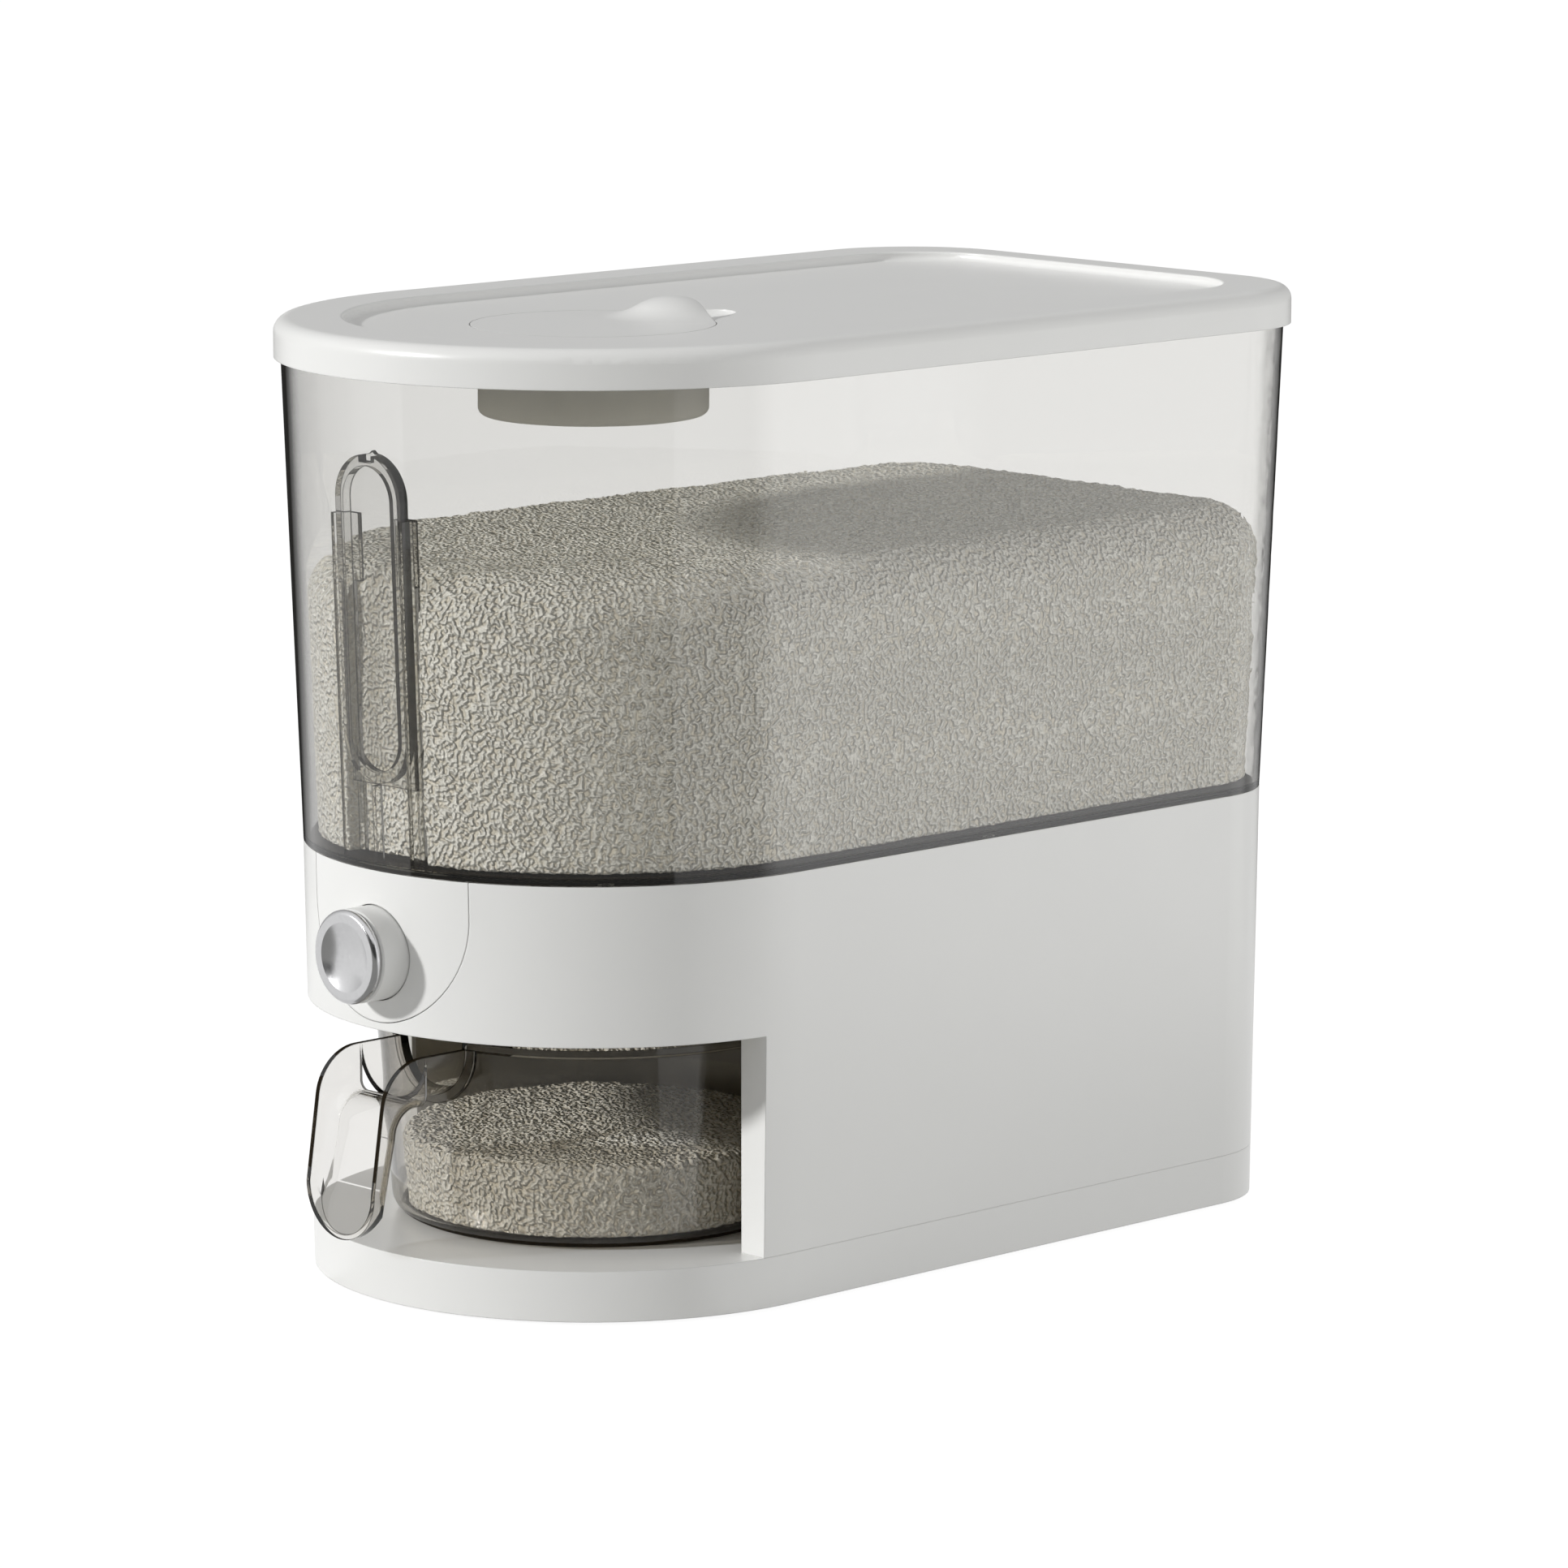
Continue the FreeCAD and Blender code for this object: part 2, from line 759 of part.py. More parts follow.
def make_base_plate():
    """Drafted slab, hollow from below, with ribs, screw bosses and seats for the feet."""
    body = new_body("base_plate")
    drafted(body, "AdditiveLoft", base_plan, 0.0, floor_top)
    hollow = floor_top - d.plate
    inside = foot_plan.inset(d.wall)
    pocket(body, Drawing(body, "XY_Plane").plan(inside), hollow)
    ribs = Drawing(body, "XY_Plane", d.rib_recess)
    deep = hollow - d.rib_recess
    reach = inside.half + d.lap
    for step in range(RIB_ROWS):
        y = d.rib_spacing * step
        ribs.box(-reach, y - d.rib / 2, reach, y + d.rib / 2)
    pad(body, ribs, deep + d.lap)
    for x in (-d.rib_spacing, 0.0, d.rib_spacing):
        front = root(inside.half * inside.half - x * x) - d.rib
        spine = Drawing(body, "XY_Plane", d.rib_recess)
        spine.box(x - d.rib / 2, -front, x + d.rib / 2, inside.rear + d.lap)
        pad(body, spine, deep + d.lap)
    bosses = spots(Drawing(body, "XY_Plane", d.rib_recess), POST_PLACES, d.post_radius)
    pad(body, bosses, deep + d.lap)
    seats = spots(Drawing(body, "XY_Plane"), FOOT_PLACES, d.foot_radius + d.wall)
    pad(body, seats, hollow + d.lap)
    recesses = Drawing(body, "XY_Plane")
    spots(recesses, FOOT_PLACES, d.foot_radius + d.running_gap)
    pocket(body, recesses, d.foot_seat)
    holes = Drawing(body, "XY_Plane")
    spots(holes, POST_PLACES, d.screw_radius + d.running_gap)
    pocket(body, holes, floor_top)
    return body


def make_rubber_feet():
    members = []
    for index, (x, y) in enumerate(FOOT_PLACES, start=1):
        height = d.foot_proud + d.foot_seat
        place = (x, y, -d.foot_proud)
        members.append(cylinder(f"foot_{index}", d.foot_radius, height, place))
    return group("rubber_feet", members)


def make_base_screws():
    places = [(x, y, d.rib_recess) for x, y in POST_PLACES]
    length = floor_top - d.rib_recess + d.screw_length
    return screws("base_screws", places, length, "Z")


# --- housing ----------------------------------------------------------------------------


def panel_prism(name, margin, top):
    """The cover panel's U shape, swept through the front of the housing."""
    body = new_body(name)
    half = d.panel_half + margin
    low = d.panel_round - half
    drawing = Drawing(body, "XZ_Plane", -d.prism_start)
    drawing.path(
        [
            (half, top),
            (-half, top),
            (-half, d.panel_round),
            (0.0, low, half, 1),
            (half, d.panel_round, half, 1),
        ]
    )
    pad(body, drawing, d.bay_radius, towards=-1)
    return body


def curved_panel(name, outer, inner, low, margin, top):
    """A piece of the housing's wall between two insets, cut to the cover panel's shape."""
    shell = new_body(name + "_shell")
    drafted(shell, "AdditiveLoft", base_plan, low, top, outer)
    drafted(shell, "SubtractiveLoft", base_plan, low, top, inner)
    return boolean("Common", name, shell, panel_prism(name + "_prism", margin, top))


def bay_front(drawing, reach):
    """The plan ahead of the jambs' back face, inside a circle."""
    back = d.bay_front - d.bay_liner
    side = root(reach * reach - back * back)
    return drawing.path([(-side, -back), (0.0, -reach, reach, 1), (side, -back, reach, 1)])


def ahead_of(drawing, back):
    """Everything in front of a plane across the bay."""
    beyond = d.joint_half + d.wall
    return drawing.box(-beyond, -beyond, beyond, -back)


def make_housing():
    """Drafted tower with the jambs of the drawer bay, the ledge, the posts and bosses."""
    body = new_body("housing_body")
    drafted(body, "AdditiveLoft", base_plan, floor_top, d.joint_height)
    drafted(body, "SubtractiveLoft", base_plan, floor_top, d.joint_height, d.wall)
    bay_height = d.bay_ceiling - floor_top
    jambs = bay_front(Drawing(body, "XY_Plane", floor_top), d.foot_half - d.wall / 4)
    pad(body, jambs, bay_height)
    bay = Drawing(body, "XY_Plane", floor_top).circle(0.0, 0.0, d.bay_radius)
    pocket(body, bay, bay_height)
    pocket(body, ahead_of(Drawing(body, "XY_Plane", floor_top), d.bay_front), bay_height)
    ledge = Drawing(body, "XY_Plane", d.ledge_height)
    ledge.plan(base_plan(d.ledge_height).inset(d.wall - d.lap))
    ledge.plan(joint_plan.inset(d.ledge_opening))
    pad(body, ledge, d.ledge_thickness)
    posts = spots(Drawing(body, "XY_Plane", floor_top), POST_PLACES, d.post_radius)
    pad(body, posts, d.post_height)
    pilots = spots(Drawing(body, "XY_Plane", floor_top), POST_PLACES, d.screw_radius)
    pocket(body, pilots, d.screw_length)
    holes = Drawing(body, "XY_Plane", d.ledge_height)
    spots(holes, HOPPER_BOSSES, d.screw_radius + d.running_gap)
    pocket(body, holes, d.ledge_thickness)
    bosses = Drawing(body, "XZ_Plane", -d.barrel_floor)
    spots(bosses, BARREL_BOSSES, d.barrel_boss_radius)
    pad(body, bosses, d.barrel_boss_root - d.barrel_floor, towards=-1)
    pilots = Drawing(body, "XZ_Plane", -d.barrel_floor)
    spots(pilots, BARREL_BOSSES, d.screw_radius)
    pocket(body, pilots, d.barrel_boss_root - d.barrel_floor, towards=-1)
    low = ceiling_top + d.lap / 2
    opening = curved_panel("housing_opening", -d.wall, d.wall + d.lap, low, 0.0, d.joint_height)
    return boolean("Cut", "housing", body, opening)


def make_bay_liner():
    """Round wall of the drawer bay behind the jambs, under the ceiling that holds the track."""
    body = new_body("bay_liner")
    wall = Drawing(body, "XY_Plane", floor_top)
    wall.circle(0.0, 0.0, d.bay_radius + d.bay_liner)
    pad(body, wall, ceiling_top - floor_top)
    front = ahead_of(Drawing(body, "XY_Plane", floor_top), d.bay_front - d.bay_liner)
    pocket(body, front, ceiling_top - floor_top)
    reach = base_plan(d.bay_ceiling).half - d.wall - d.snug
    ceiling = bay_front(Drawing(body, "XY_Plane", d.bay_ceiling), reach)
    pad(body, ceiling, d.plate)
    bay = Drawing(body, "XY_Plane", floor_top).circle(0.0, 0.0, d.bay_radius)
    pocket(body, bay, d.bay_ceiling - floor_top)
    chute = Drawing(body, "XY_Plane", d.bay_ceiling)
    chute_outline(chute, d.wall)
    pocket(body, chute, d.plate)
    pilots = spots(Drawing(body, "XY_Plane", d.bay_ceiling), TRACK_SCREWS, d.screw_radius)
    pocket(body, pilots, d.plate)
    return body


def chute_outline(drawing, margin):
    """The outlet's rounded slot, grown by a margin."""
    half = d.outlet_half + margin
    reach = d.outlet_reach + margin
    return drawing.rounded_box(-half, -reach, half, reach, d.outlet_reach / 2)


def make_front_cover():
    """Flush U-shaped panel with a lap behind the wall and a collar for the button."""
    low = ceiling_top + d.lap
    top = d.joint_height
    panel = curved_panel("cover_panel", 0.0, d.wall + d.lap, low, -d.seam, top)
    lap_outer = d.wall + d.snug
    lap_inner = lap_outer + d.panel_flange_wall
    lap_top = d.ledge_height - d.lap
    flange = curved_panel("cover_flange", lap_outer, lap_inner, low, d.panel_flange, lap_top)
    both = boolean("Fuse", "cover_blank", panel, flange)
    start = d.joint_half - d.wall
    hole_radius = d.button_radius + d.running_gap
    collar_radius = hole_radius + d.barrel_wall
    depth = start - d.barrel_front
    centre = (0.0, -d.barrel_front, button_axis)
    collar = cylinder("cover_collar", collar_radius, depth, centre, "-Y")
    collared = boolean("Fuse", "cover_collared", both, collar)
    inside = (0.0, -d.bay_radius, button_axis)
    bore = cylinder("cover_bore", hole_radius, d.bay_radius / 2, inside, "-Y")
    return boolean("Cut", "front_cover", collared, bore)


def make_button_barrel():
    """Guide tube behind the cover, with the spring's floor and four screw ears."""
    body = new_body("button_barrel")
    half = barrel_plate_half
    low = button_axis - d.barrel_plate_low
    high = button_axis + d.barrel_plate_low
    floor = Drawing(body, "XZ_Plane", -d.barrel_floor)
    floor.rounded_box(-half, low, half, high, d.post_radius)
    pad(body, floor, d.barrel_floor_wall, towards=1)
    bore = d.button_radius + d.running_gap
    tube = Drawing(body, "XZ_Plane", -d.barrel_floor)
    tube.circle(0.0, button_axis, bore + d.barrel_wall)
    tube.circle(0.0, button_axis, bore)
    pad(body, tube, d.barrel_front - d.barrel_floor, towards=-1)
    for rise in (-1, 1):
        gusset = Drawing(body, "XZ_Plane", -d.barrel_floor)
        middle = button_axis + d.barrel_boss_rise * rise / 2
        start = bore + d.barrel_wall / 2
        reach = barrel_boss_x - d.screw_head_radius * 2
        gusset.box(start, middle - d.rib / 2, reach, middle + d.rib / 2)
        gusset.box(-reach, middle - d.rib / 2, -start, middle + d.rib / 2)
        pad(body, gusset, d.gusset_length, towards=-1)
    hole = Drawing(body, "XZ_Plane", -d.barrel_floor)
    hole.circle(0.0, button_axis, d.stem_radius + d.running_gap)
    spots(hole, BARREL_BOSSES, d.screw_radius + d.running_gap / 2)
    pocket(body, hole, d.barrel_floor_wall, towards=1)
    return body


def make_barrel_screws():
    y = d.barrel_floor_wall - d.barrel_floor
    places = [(x, y, z) for x, z in BARREL_BOSSES]
    length = d.barrel_boss_root - d.barrel_floor + d.barrel_floor_wall - d.lap
    return screws("barrel_screws", places, length, "-Y")


# --- button and spring ------------------------------------------------------------------


def side_view(body, outline):
    """A profile in (distance along Y, distance from the button's axis)."""
    drawing = Drawing(body, "YZ_Plane").path(outline)
    sketch = drawing.sketch
    offset = sketch.AttachmentOffset
    offset.Base = Vector(offset.Base.x, float(button_axis), offset.Base.z)
    sketch.AttachmentOffset = offset
    bind(sketch, "AttachmentOffset.Base.y", button_axis)
    return drawing


cap_back = -(d.button_front - d.cap_depth)
button_inside = cap_back + d.button_head


def make_button_cap():
    """Plated puck with a full round rim and a shallow finger dish."""
    body = new_body("button_cap")
    rim = d.cap_depth / 2
    front = -d.button_front
    flat = d.button_radius - rim
    dish = d.dish_radius
    dish_round = (dish * dish + d.dish_depth * d.dish_depth) / d.dish_depth / 2
    outline = [
        (cap_back, 0.0),
        (cap_back, flat),
        (cap_back - rim, d.button_radius, rim, 1),
        (front, flat, rim, 1),
        (front, dish),
        (front + d.dish_depth, 0.0, dish_round, -1),
    ]
    turned(body, "Revolution", side_view(body, outline), "H_Axis")
    return body


def make_button_body():
    """Hollow plunger open at the back, with the stem that reaches the gate's arm."""
    body = new_body("button_body")
    skirt = d.button_radius
    inner = skirt - d.button_wall
    shoulder = skirt - d.lap * 2
    neck = cap_back + d.lap * 2
    outline = [
        (cap_back, 0.0),
        (-arm_front, 0.0),
        (-arm_front, d.stem_radius),
        (button_inside, d.stem_radius),
        (button_inside, inner),
        (-d.button_tail, inner),
        (-d.button_tail, skirt),
        (neck, skirt),
        (cap_back, shoulder),
    ]
    turned(body, "Revolution", side_view(body, outline), "H_Axis")
    hole = Drawing(body, "XZ_Plane", -arm_front)
    hole.circle(0.0, button_axis, d.screw_radius)
    pocket(body, hole, d.screw_length, towards=-1)
    return body


def make_stem_screw():
    place = (0.0, d.arm_thickness - arm_front, button_axis)
    return screw("stem_screw", place, d.screw_length, "-Y")


def make_return_spring():
    """Compression spring between the barrel's floor and the inside of the plunger."""
    body = new_body("return_spring")
    start = -d.barrel_floor - d.spring_wire - d.snug
    finish = button_inside + d.spring_wire + d.lap
    section = Drawing(body, "YZ_Plane")
    radius = button_axis + d.spring_radius
    section.path(
        [
            (finish - d.spring_wire, radius),
            (finish, radius - d.spring_wire),
            (finish + d.spring_wire, radius),
            (finish, radius + d.spring_wire),
        ]
    )
    helix = body.newObject("PartDesign::AdditiveHelix", "return_spring_helix")
    helix.Profile = section.sketch
    axis = new_axis(body, button_axis)
    helix.ReferenceAxis = (axis, ["Edge1"])
    helix.Mode = "height-turns-angle"
    helix.Height = float(start - finish)
    bind(helix, "Height", start - finish)
    helix.Turns = float(d.spring_turns)
    bind(helix, "Turns", d.spring_turns)
    return body


def new_axis(body, height):
    """A construction line along Y at a height, for features that turn about the button."""
    drawing = Drawing(body, "YZ_Plane")
    line = Part.LineSegment(Vector(-1, float(height), 0), Vector(1, float(height), 0))
    index = drawing.sketch.addGeometry(line, False)
    drawing.pin("Horizontal", index)
    drawing.pin("DistanceY", -1, 1, index, 1, height)
    drawing.pin("DistanceX", index, 1, -1, 1, d.spring_wire)
    drawing.pin("DistanceX", -1, 1, index, 2, d.spring_wire)
    return drawing.sketch


# --- gate and funnel --------------------------------------------------------------------


def make_gate_slide():
    """Shutter plate with a slot and an upright arm that the stem is screwed to."""
    body = new_body("gate_slide")
    plate = Drawing(body, "XY_Plane", gate_low)
    plate.box(-d.gate_half, -arm_front, d.gate_half, d.gate_back)
    pad(body, plate, d.gate_thickness)
    arm = Drawing(body, "XY_Plane", gate_low)
    arm.box(-d.arm_half, -arm_front, d.arm_half, d.arm_thickness - arm_front)
    pad(body, arm, button_axis + d.arm_above - gate_low)
    gusset = Drawing(body, "YZ_Plane", -d.rib / 2)
    foot = d.arm_thickness - arm_front
    slope = button_axis - d.stem_radius * 2 - gate_top
    gusset.path(
        [
            (foot - d.lap, gate_top - d.lap),
            (foot + slope, gate_top - d.lap),
            (foot - d.lap, gate_top + slope),
        ]
    )
    pad(body, gusset, d.rib)
    slot = Drawing(body, "XY_Plane", gate_low)
    slot_outline(slot)
    pocket(body, slot, d.gate_thickness)
    hole = Drawing(body, "XZ_Plane", -arm_front)
    hole.circle(0.0, button_axis, d.screw_radius + d.running_gap / 2)
    pocket(body, hole, d.arm_thickness, towards=1)
    corners = {round(float(v), 2) for v in (d.gate_half, -d.gate_half)}
    fillet(
        body,
        d.gate_thickness,
        lambda edge: edge.BoundBox.ZLength > 1
        and edge.BoundBox.XLength < 0.01
        and edge.BoundBox.YLength < 0.01
        and round(edge.BoundBox.XMax, 2) in corners,
    )
    return body


def slot_outline(drawing):
    """The gate's slot stands one travel ahead of the outlet while the button is out."""
    half = d.outlet_half
    reach = d.outlet_reach - d.running_gap
    back = reach - d.button_travel
    front = -reach - d.button_travel
    drawing.rounded_box(-half, front, half, back, d.outlet_reach / 2)


def make_gate_track():
    """Channel for the gate, screwed to the bay's ceiling, with the drop chute below it."""
    body = new_body("gate_track")
    base = Drawing(body, "XY_Plane", ceiling_top)
    base.rounded_box(-d.track_half, -d.track_front, d.track_half, d.track_back, d.post_radius)
    pad(body, base, d.plate)
    chute = Drawing(body, "XY_Plane", d.bay_ceiling)
    chute_outline(chute, d.wall - d.running_gap)
    pad(body, chute, d.plate + d.lap)
    inner = d.gate_half + d.running_gap
    outer = inner + d.guide_width
    guide_height = gate_top + d.gate_rise - track_top
    length = d.track_back + d.track_front
    for side in (-1, 1):
        guide = Drawing(body, "XZ_Plane", -d.track_front)
        wall_x, lip_x = outer * side, (inner - d.guide_lip) * side
        low, step = track_top - d.lap, track_top + guide_height
        top = step + d.guide_lip_height
        near, far = inner * side, wall_x
        outline = [(near, low), (near, step), (lip_x, step), (lip_x, top), (far, top), (far, low)]
        guide.path(outline)
        pad(body, guide, length, towards=1)
    hole = Drawing(body, "XY_Plane", d.bay_ceiling)
    chute_outline(hole, d.lap)
    pocket(body, hole, d.plate * 2)
    holes = Drawing(body, "XY_Plane", ceiling_top)
    spots(holes, TRACK_SCREWS, d.screw_radius + d.running_gap / 2)
    pocket(body, holes, d.plate)
    return body


def make_track_screws():
    places = [(x, y, track_top) for x, y in TRACK_SCREWS]
    return screws("track_screws", places, d.plate * 2 - d.lap, "-Z")


def mouth_box(drawing, margin):
    """The funnel's rectangular mouth, grown by a margin."""
    half = d.mouth_half + margin
    return drawing.box(-half, -d.mouth_front - margin, half, d.mouth_back + margin)


def outlet_box(drawing, margin):
    half = d.outlet_half + margin
    reach = d.outlet_reach + margin
    return drawing.box(-half, -reach, half, reach)


def make_funnel():
    """Four sloping floors that lead from the hopper to the outlet slot, under a flat rim."""
    body = new_body("funnel")
    rim = Drawing(body, "XY_Plane", ledge_top)
    rim.plan(joint_plan.inset(d.wall + d.lap + d.running_gap))
    pad(body, rim, d.ledge_thickness)
    lower = outlet_box(Drawing(body, "XY_Plane", outlet_low), d.wall)
    upper = mouth_box(Drawing(body, "XY_Plane", ledge_top + d.lap), d.wall)
    loft(body, "AdditiveLoft", lower, upper)
    lower = outlet_box(Drawing(body, "XY_Plane", outlet_low), 0.0)
    upper = mouth_box(Drawing(body, "XY_Plane", rim_top), 0.0)
    loft(body, "SubtractiveLoft", lower, upper)
    holes = Drawing(body, "XY_Plane", ledge_top)
    spots(holes, HOPPER_BOSSES, d.hopper_boss_radius + d.running_gap)
    pocket(body, holes, d.ledge_thickness)
    return body


def make_hopper_seal():
    """Soft ring squeezed between the funnel's rim and the hopper's flange."""
    body = new_body("hopper_seal")
    outer = d.hopper_boss_inset + d.hopper_boss_radius + d.seal_gap
    ring = Drawing(body, "XY_Plane", rim_top)
    ring.plan(joint_plan.inset(outer))
    ring.plan(joint_plan.inset(outer + d.seal_width))
    pad(body, ring, d.joint_height - rim_top)
    return body


# --- hopper and its holder --------------------------------------------------------------


def front_lean():
    """How far the hopper's front moves out for each millimetre of height."""
    return (d.brim_half - d.joint_half) / (d.brim_height - d.joint_height)


def lean_at(height):
    """The shift of the front wall at a height, against the holder's reference height."""
    return (height - d.holder_reference) * front_lean()


def rail_section(body, side, height):
    """One rail: a web from the wall and a lip that turns in behind the holder."""
    inner = d.holder_half + d.rail_gap
    outer = inner + d.rail_wall
    shift = lean_at(height)
    root_y = -d.rail_root - shift
    back = -d.holder_back + d.rail_gap - shift
    drawing = Drawing(body, "XY_Plane", height)
    drawing.path(
        [
            (inner * side, root_y),
            (outer * side, root_y),
            (outer * side, back + d.rail_wall),
            ((inner - d.rail_lip) * side, back + d.rail_wall),
            ((inner - d.rail_lip) * side, back),
            (inner * side, back),
        ]
    )
    return drawing


def tongue_section(body, side, height):
    """The wide upper part of a rail's lip, behind the holder."""
    shift = lean_at(height)
    back = -d.holder_back + d.rail_gap - shift
    edge = d.holder_half + d.rail_gap
    drawing = Drawing(body, "XY_Plane", height)
    near, far = (edge - d.tongue_lip) * side, edge * side
    return drawing.box(near, back, far, back + d.rail_wall)


def stop_section(body, height):
    """The rib in the middle of the front wall that the holder stands on."""
    shift = lean_at(height)
    drawing = Drawing(body, "XY_Plane", height)
    half = d.stop_width / 2
    return drawing.box(-half, -d.rail_root - shift, half, -d.stop_back - shift)


def make_hopper():
    """Drafted clear shell with a turned-in flange, screw bosses, brim and holder rails."""
    body = new_body("hopper")
    drafted(body, "AdditiveLoft", hopper_plan, d.joint_height, d.brim_height)
    brim = Drawing(body, "XY_Plane", d.brim_height)
    brim.plan(brim_plan.inset(d.lap * 2))
    pad(body, brim, d.hopper_height - d.brim_height)
    inner_top = hopper_inside(d.hopper_height)
    drafted(
        body,
        "SubtractiveLoft",
        hopper_plan,
        flange_top,
        d.hopper_height,
        low_plan=hopper_inside(flange_top),
        high_plan=inner_top,
    )
    opening = Drawing(body, "XY_Plane", d.joint_height)
    opening.plan(joint_plan.inset(d.ledge_opening))
    pocket(body, opening, d.flange_thickness)
    bosses = spots(Drawing(body, "XY_Plane", ledge_top), HOPPER_BOSSES, d.hopper_boss_radius)
    pad(body, bosses, d.joint_height + d.lap - ledge_top)
    pilots = spots(Drawing(body, "XY_Plane", ledge_top), HOPPER_BOSSES, d.screw_radius)
    pocket(body, pilots, d.joint_height - ledge_top)
    rail_low = flange_top - d.lap
    for side in (-1, 1):
        upper = rail_section(body, side, d.rail_top)
        loft(body, "AdditiveLoft", rail_section(body, side, rail_low), upper)
        upper = tongue_section(body, side, d.rail_top)
        loft(body, "AdditiveLoft", tongue_section(body, side, d.tongue_low), upper)
    upper = stop_section(body, d.frame_bottom - d.rail_gap)
    loft(body, "AdditiveLoft", stop_section(body, rail_low), upper)
    return body


def make_hopper_screws():
    places = [(x, y, d.ledge_height) for x, y in HOPPER_BOSSES]
    length = d.joint_height - d.ledge_height - d.lap * 2
    return screws("hopper_screws", places, length, "Z")


def stadium(drawing, half, low, high):
    """An upright slot outline with round ends."""
    return drawing.path(
        [
            (half, high - half),
            (0.0, high, half, 1),
            (-half, high - half, half, 1),
            (-half, low + half),
            (0.0, low, half, 1),
            (half, low + half, half, 1),
        ]
    )


def make_slide_holder():
    """Arched backing plate with a raised stadium frame; it leans with the front wall."""
    body = new_body("slide_holder")
    half = d.holder_half
    origin = d.holder_reference
    plate = Drawing(body, "XZ_Plane")
    spring_line = d.holder_top - d.holder_arch - origin
    arch = (d.holder_arch * d.holder_arch + half * half) / half / 2
    plate.path(
        [
            (half, spring_line),
            (0.0, d.holder_top - origin, arch, 1),
            (-half, spring_line, arch, 1),
            (-half, d.holder_bottom - origin),
            (half, d.holder_bottom - origin),
        ]
    )
    pad(body, plate, d.holder_plate, towards=-1)
    depth = d.holder_front - d.holder_back
    frame = Drawing(body, "XZ_Plane")
    stadium(frame, half, d.frame_bottom - origin, d.frame_top - origin)
    pad(body, frame, depth, towards=-1)
    window = Drawing(body, "XZ_Plane", -depth)
    low = d.frame_bottom + d.frame_width - origin
    high = d.frame_top - d.frame_width - origin
    stadium(window, half - d.frame_width, low, high)
    pocket(body, window, depth - d.holder_plate, towards=1)
    notch = Drawing(body, "XZ_Plane", -depth)
    reach = d.frame_top + d.frame_notch - origin
    notch.box(-d.frame_notch, high + d.frame_width - d.frame_notch_depth, d.frame_notch, reach)
    pocket(body, notch, depth - d.holder_plate, towards=1)
    lean = FreeCAD.Rotation(Vector(1, 0, 0), math.degrees(math.atan(front_lean())))
    body.Placement = FreeCAD.Placement(Vector(), lean)
    bind(body, "Placement.Rotation.Angle", atan_degrees(front_lean()))
    return body


def atan_degrees(value):
    return Size(math.degrees(math.atan(value)), f"(atan({formula_of(value)}) / 1 deg)")


# --- lid and desiccant compartment ------------------------------------------------------


def make_lid():
    """Push-on lid with a coved recess, a plug, the desiccant seat and a finger scoop."""
    body = new_body("lid")
    outline = Drawing(body, "XY_Plane", d.brim_height).plan(lid_plan)
    pad(body, outline, d.lid_height - d.brim_height)
    fillet(body, d.lid_round, lambda edge: lies_at(edge, d.lid_height))
    recess = Drawing(body, "XY_Plane", lid_floor).plan(recess_plan)
    pocket(body, recess, d.recess_depth)
    fillet(body, d.recess_cove, lambda edge: lies_at(edge, lid_floor))
    fillet(body, d.recess_lip, lambda edge: lies_at(edge, d.lid_height) and on_recess(edge))
    inside = lid_plan.inset(d.lid_wall)
    under = Drawing(body, "XY_Plane", d.brim_height).plan(inside)
    pocket(body, under, lid_under - d.brim_height)
    channel = Drawing(body, "XY_Plane", lid_under)
    channel.plan(lid_plan.inset(d.lid_wall * 2))
    channel.plan(recess_plan.inset(-d.lid_plate))
    pocket(body, channel, d.recess_depth)
    plug_outer = hopper_inside(lid_under - d.plug_depth).inset(d.plug_gap)
    plug = Drawing(body, "XY_Plane", lid_under - d.plug_depth)
    plug.plan(plug_outer)
    plug.plan(plug_outer.inset(d.plug_wall))
    pad(body, plug, d.plug_depth + d.recess_depth + d.lap)
    seat = Drawing(body, "XY_Plane", seat_low - d.lid_plate)
    seat.circle(0.0, 0.0, d.cover_radius + d.lid_plate)
    pad(body, seat, lid_under - seat_low + d.lid_plate + d.lap)
    scoop_pad = Drawing(body, "XY_Plane", lid_under - d.scoop_depth)
    scoop_pad.circle(0.0, d.cover_radius, d.scoop_pad)
    pad(body, scoop_pad, d.scoop_depth + d.lap)
    bore = Drawing(body, "XY_Plane", seat_low - d.lid_plate)
    bore.circle(0.0, 0.0, d.box_radius + d.running_gap)
    pocket(body, bore, d.lid_height - seat_low)
    well = Drawing(body, "XY_Plane", seat_low)
    well.circle(0.0, 0.0, d.cover_radius + d.running_gap)
    pocket(body, well, d.lid_height - seat_low)
    scoop = body.newObject("PartDesign::SubtractiveEllipsoid", "lid_scoop")
    scoop.AttachmentSupport = [(origin_plane(body, "XY_Plane"), "")]
    scoop.MapMode = "FlatFace"
    for name, size in (
        ("Radius1", d.scoop_depth),
        ("Radius2", d.scoop_half),
        ("Radius3", d.scoop_reach),
        ("AttachmentOffset.Base.y", d.cover_radius),
        ("AttachmentOffset.Base.z", lid_floor),
    ):
        bind(scoop, name, size)
    scoop.Angle1 = -90
    scoop.Angle2 = 90
    scoop.Angle3 = 360
    return body


def on_recess(edge):
    """Whether an edge's middle lies on the recess's outline, not on the lid's outer one."""
    middle = edge.valueAt((edge.FirstParameter + edge.LastParameter) / 2)
    reach = (d.recess_half + d.lid_half - d.lid_round) / 2
    across = abs(middle.x) if middle.y > 0 else math.hypot(middle.x, middle.y)
    return across < reach and middle.y < (d.recess_rear + d.lid_rear - d.lid_round) / 2


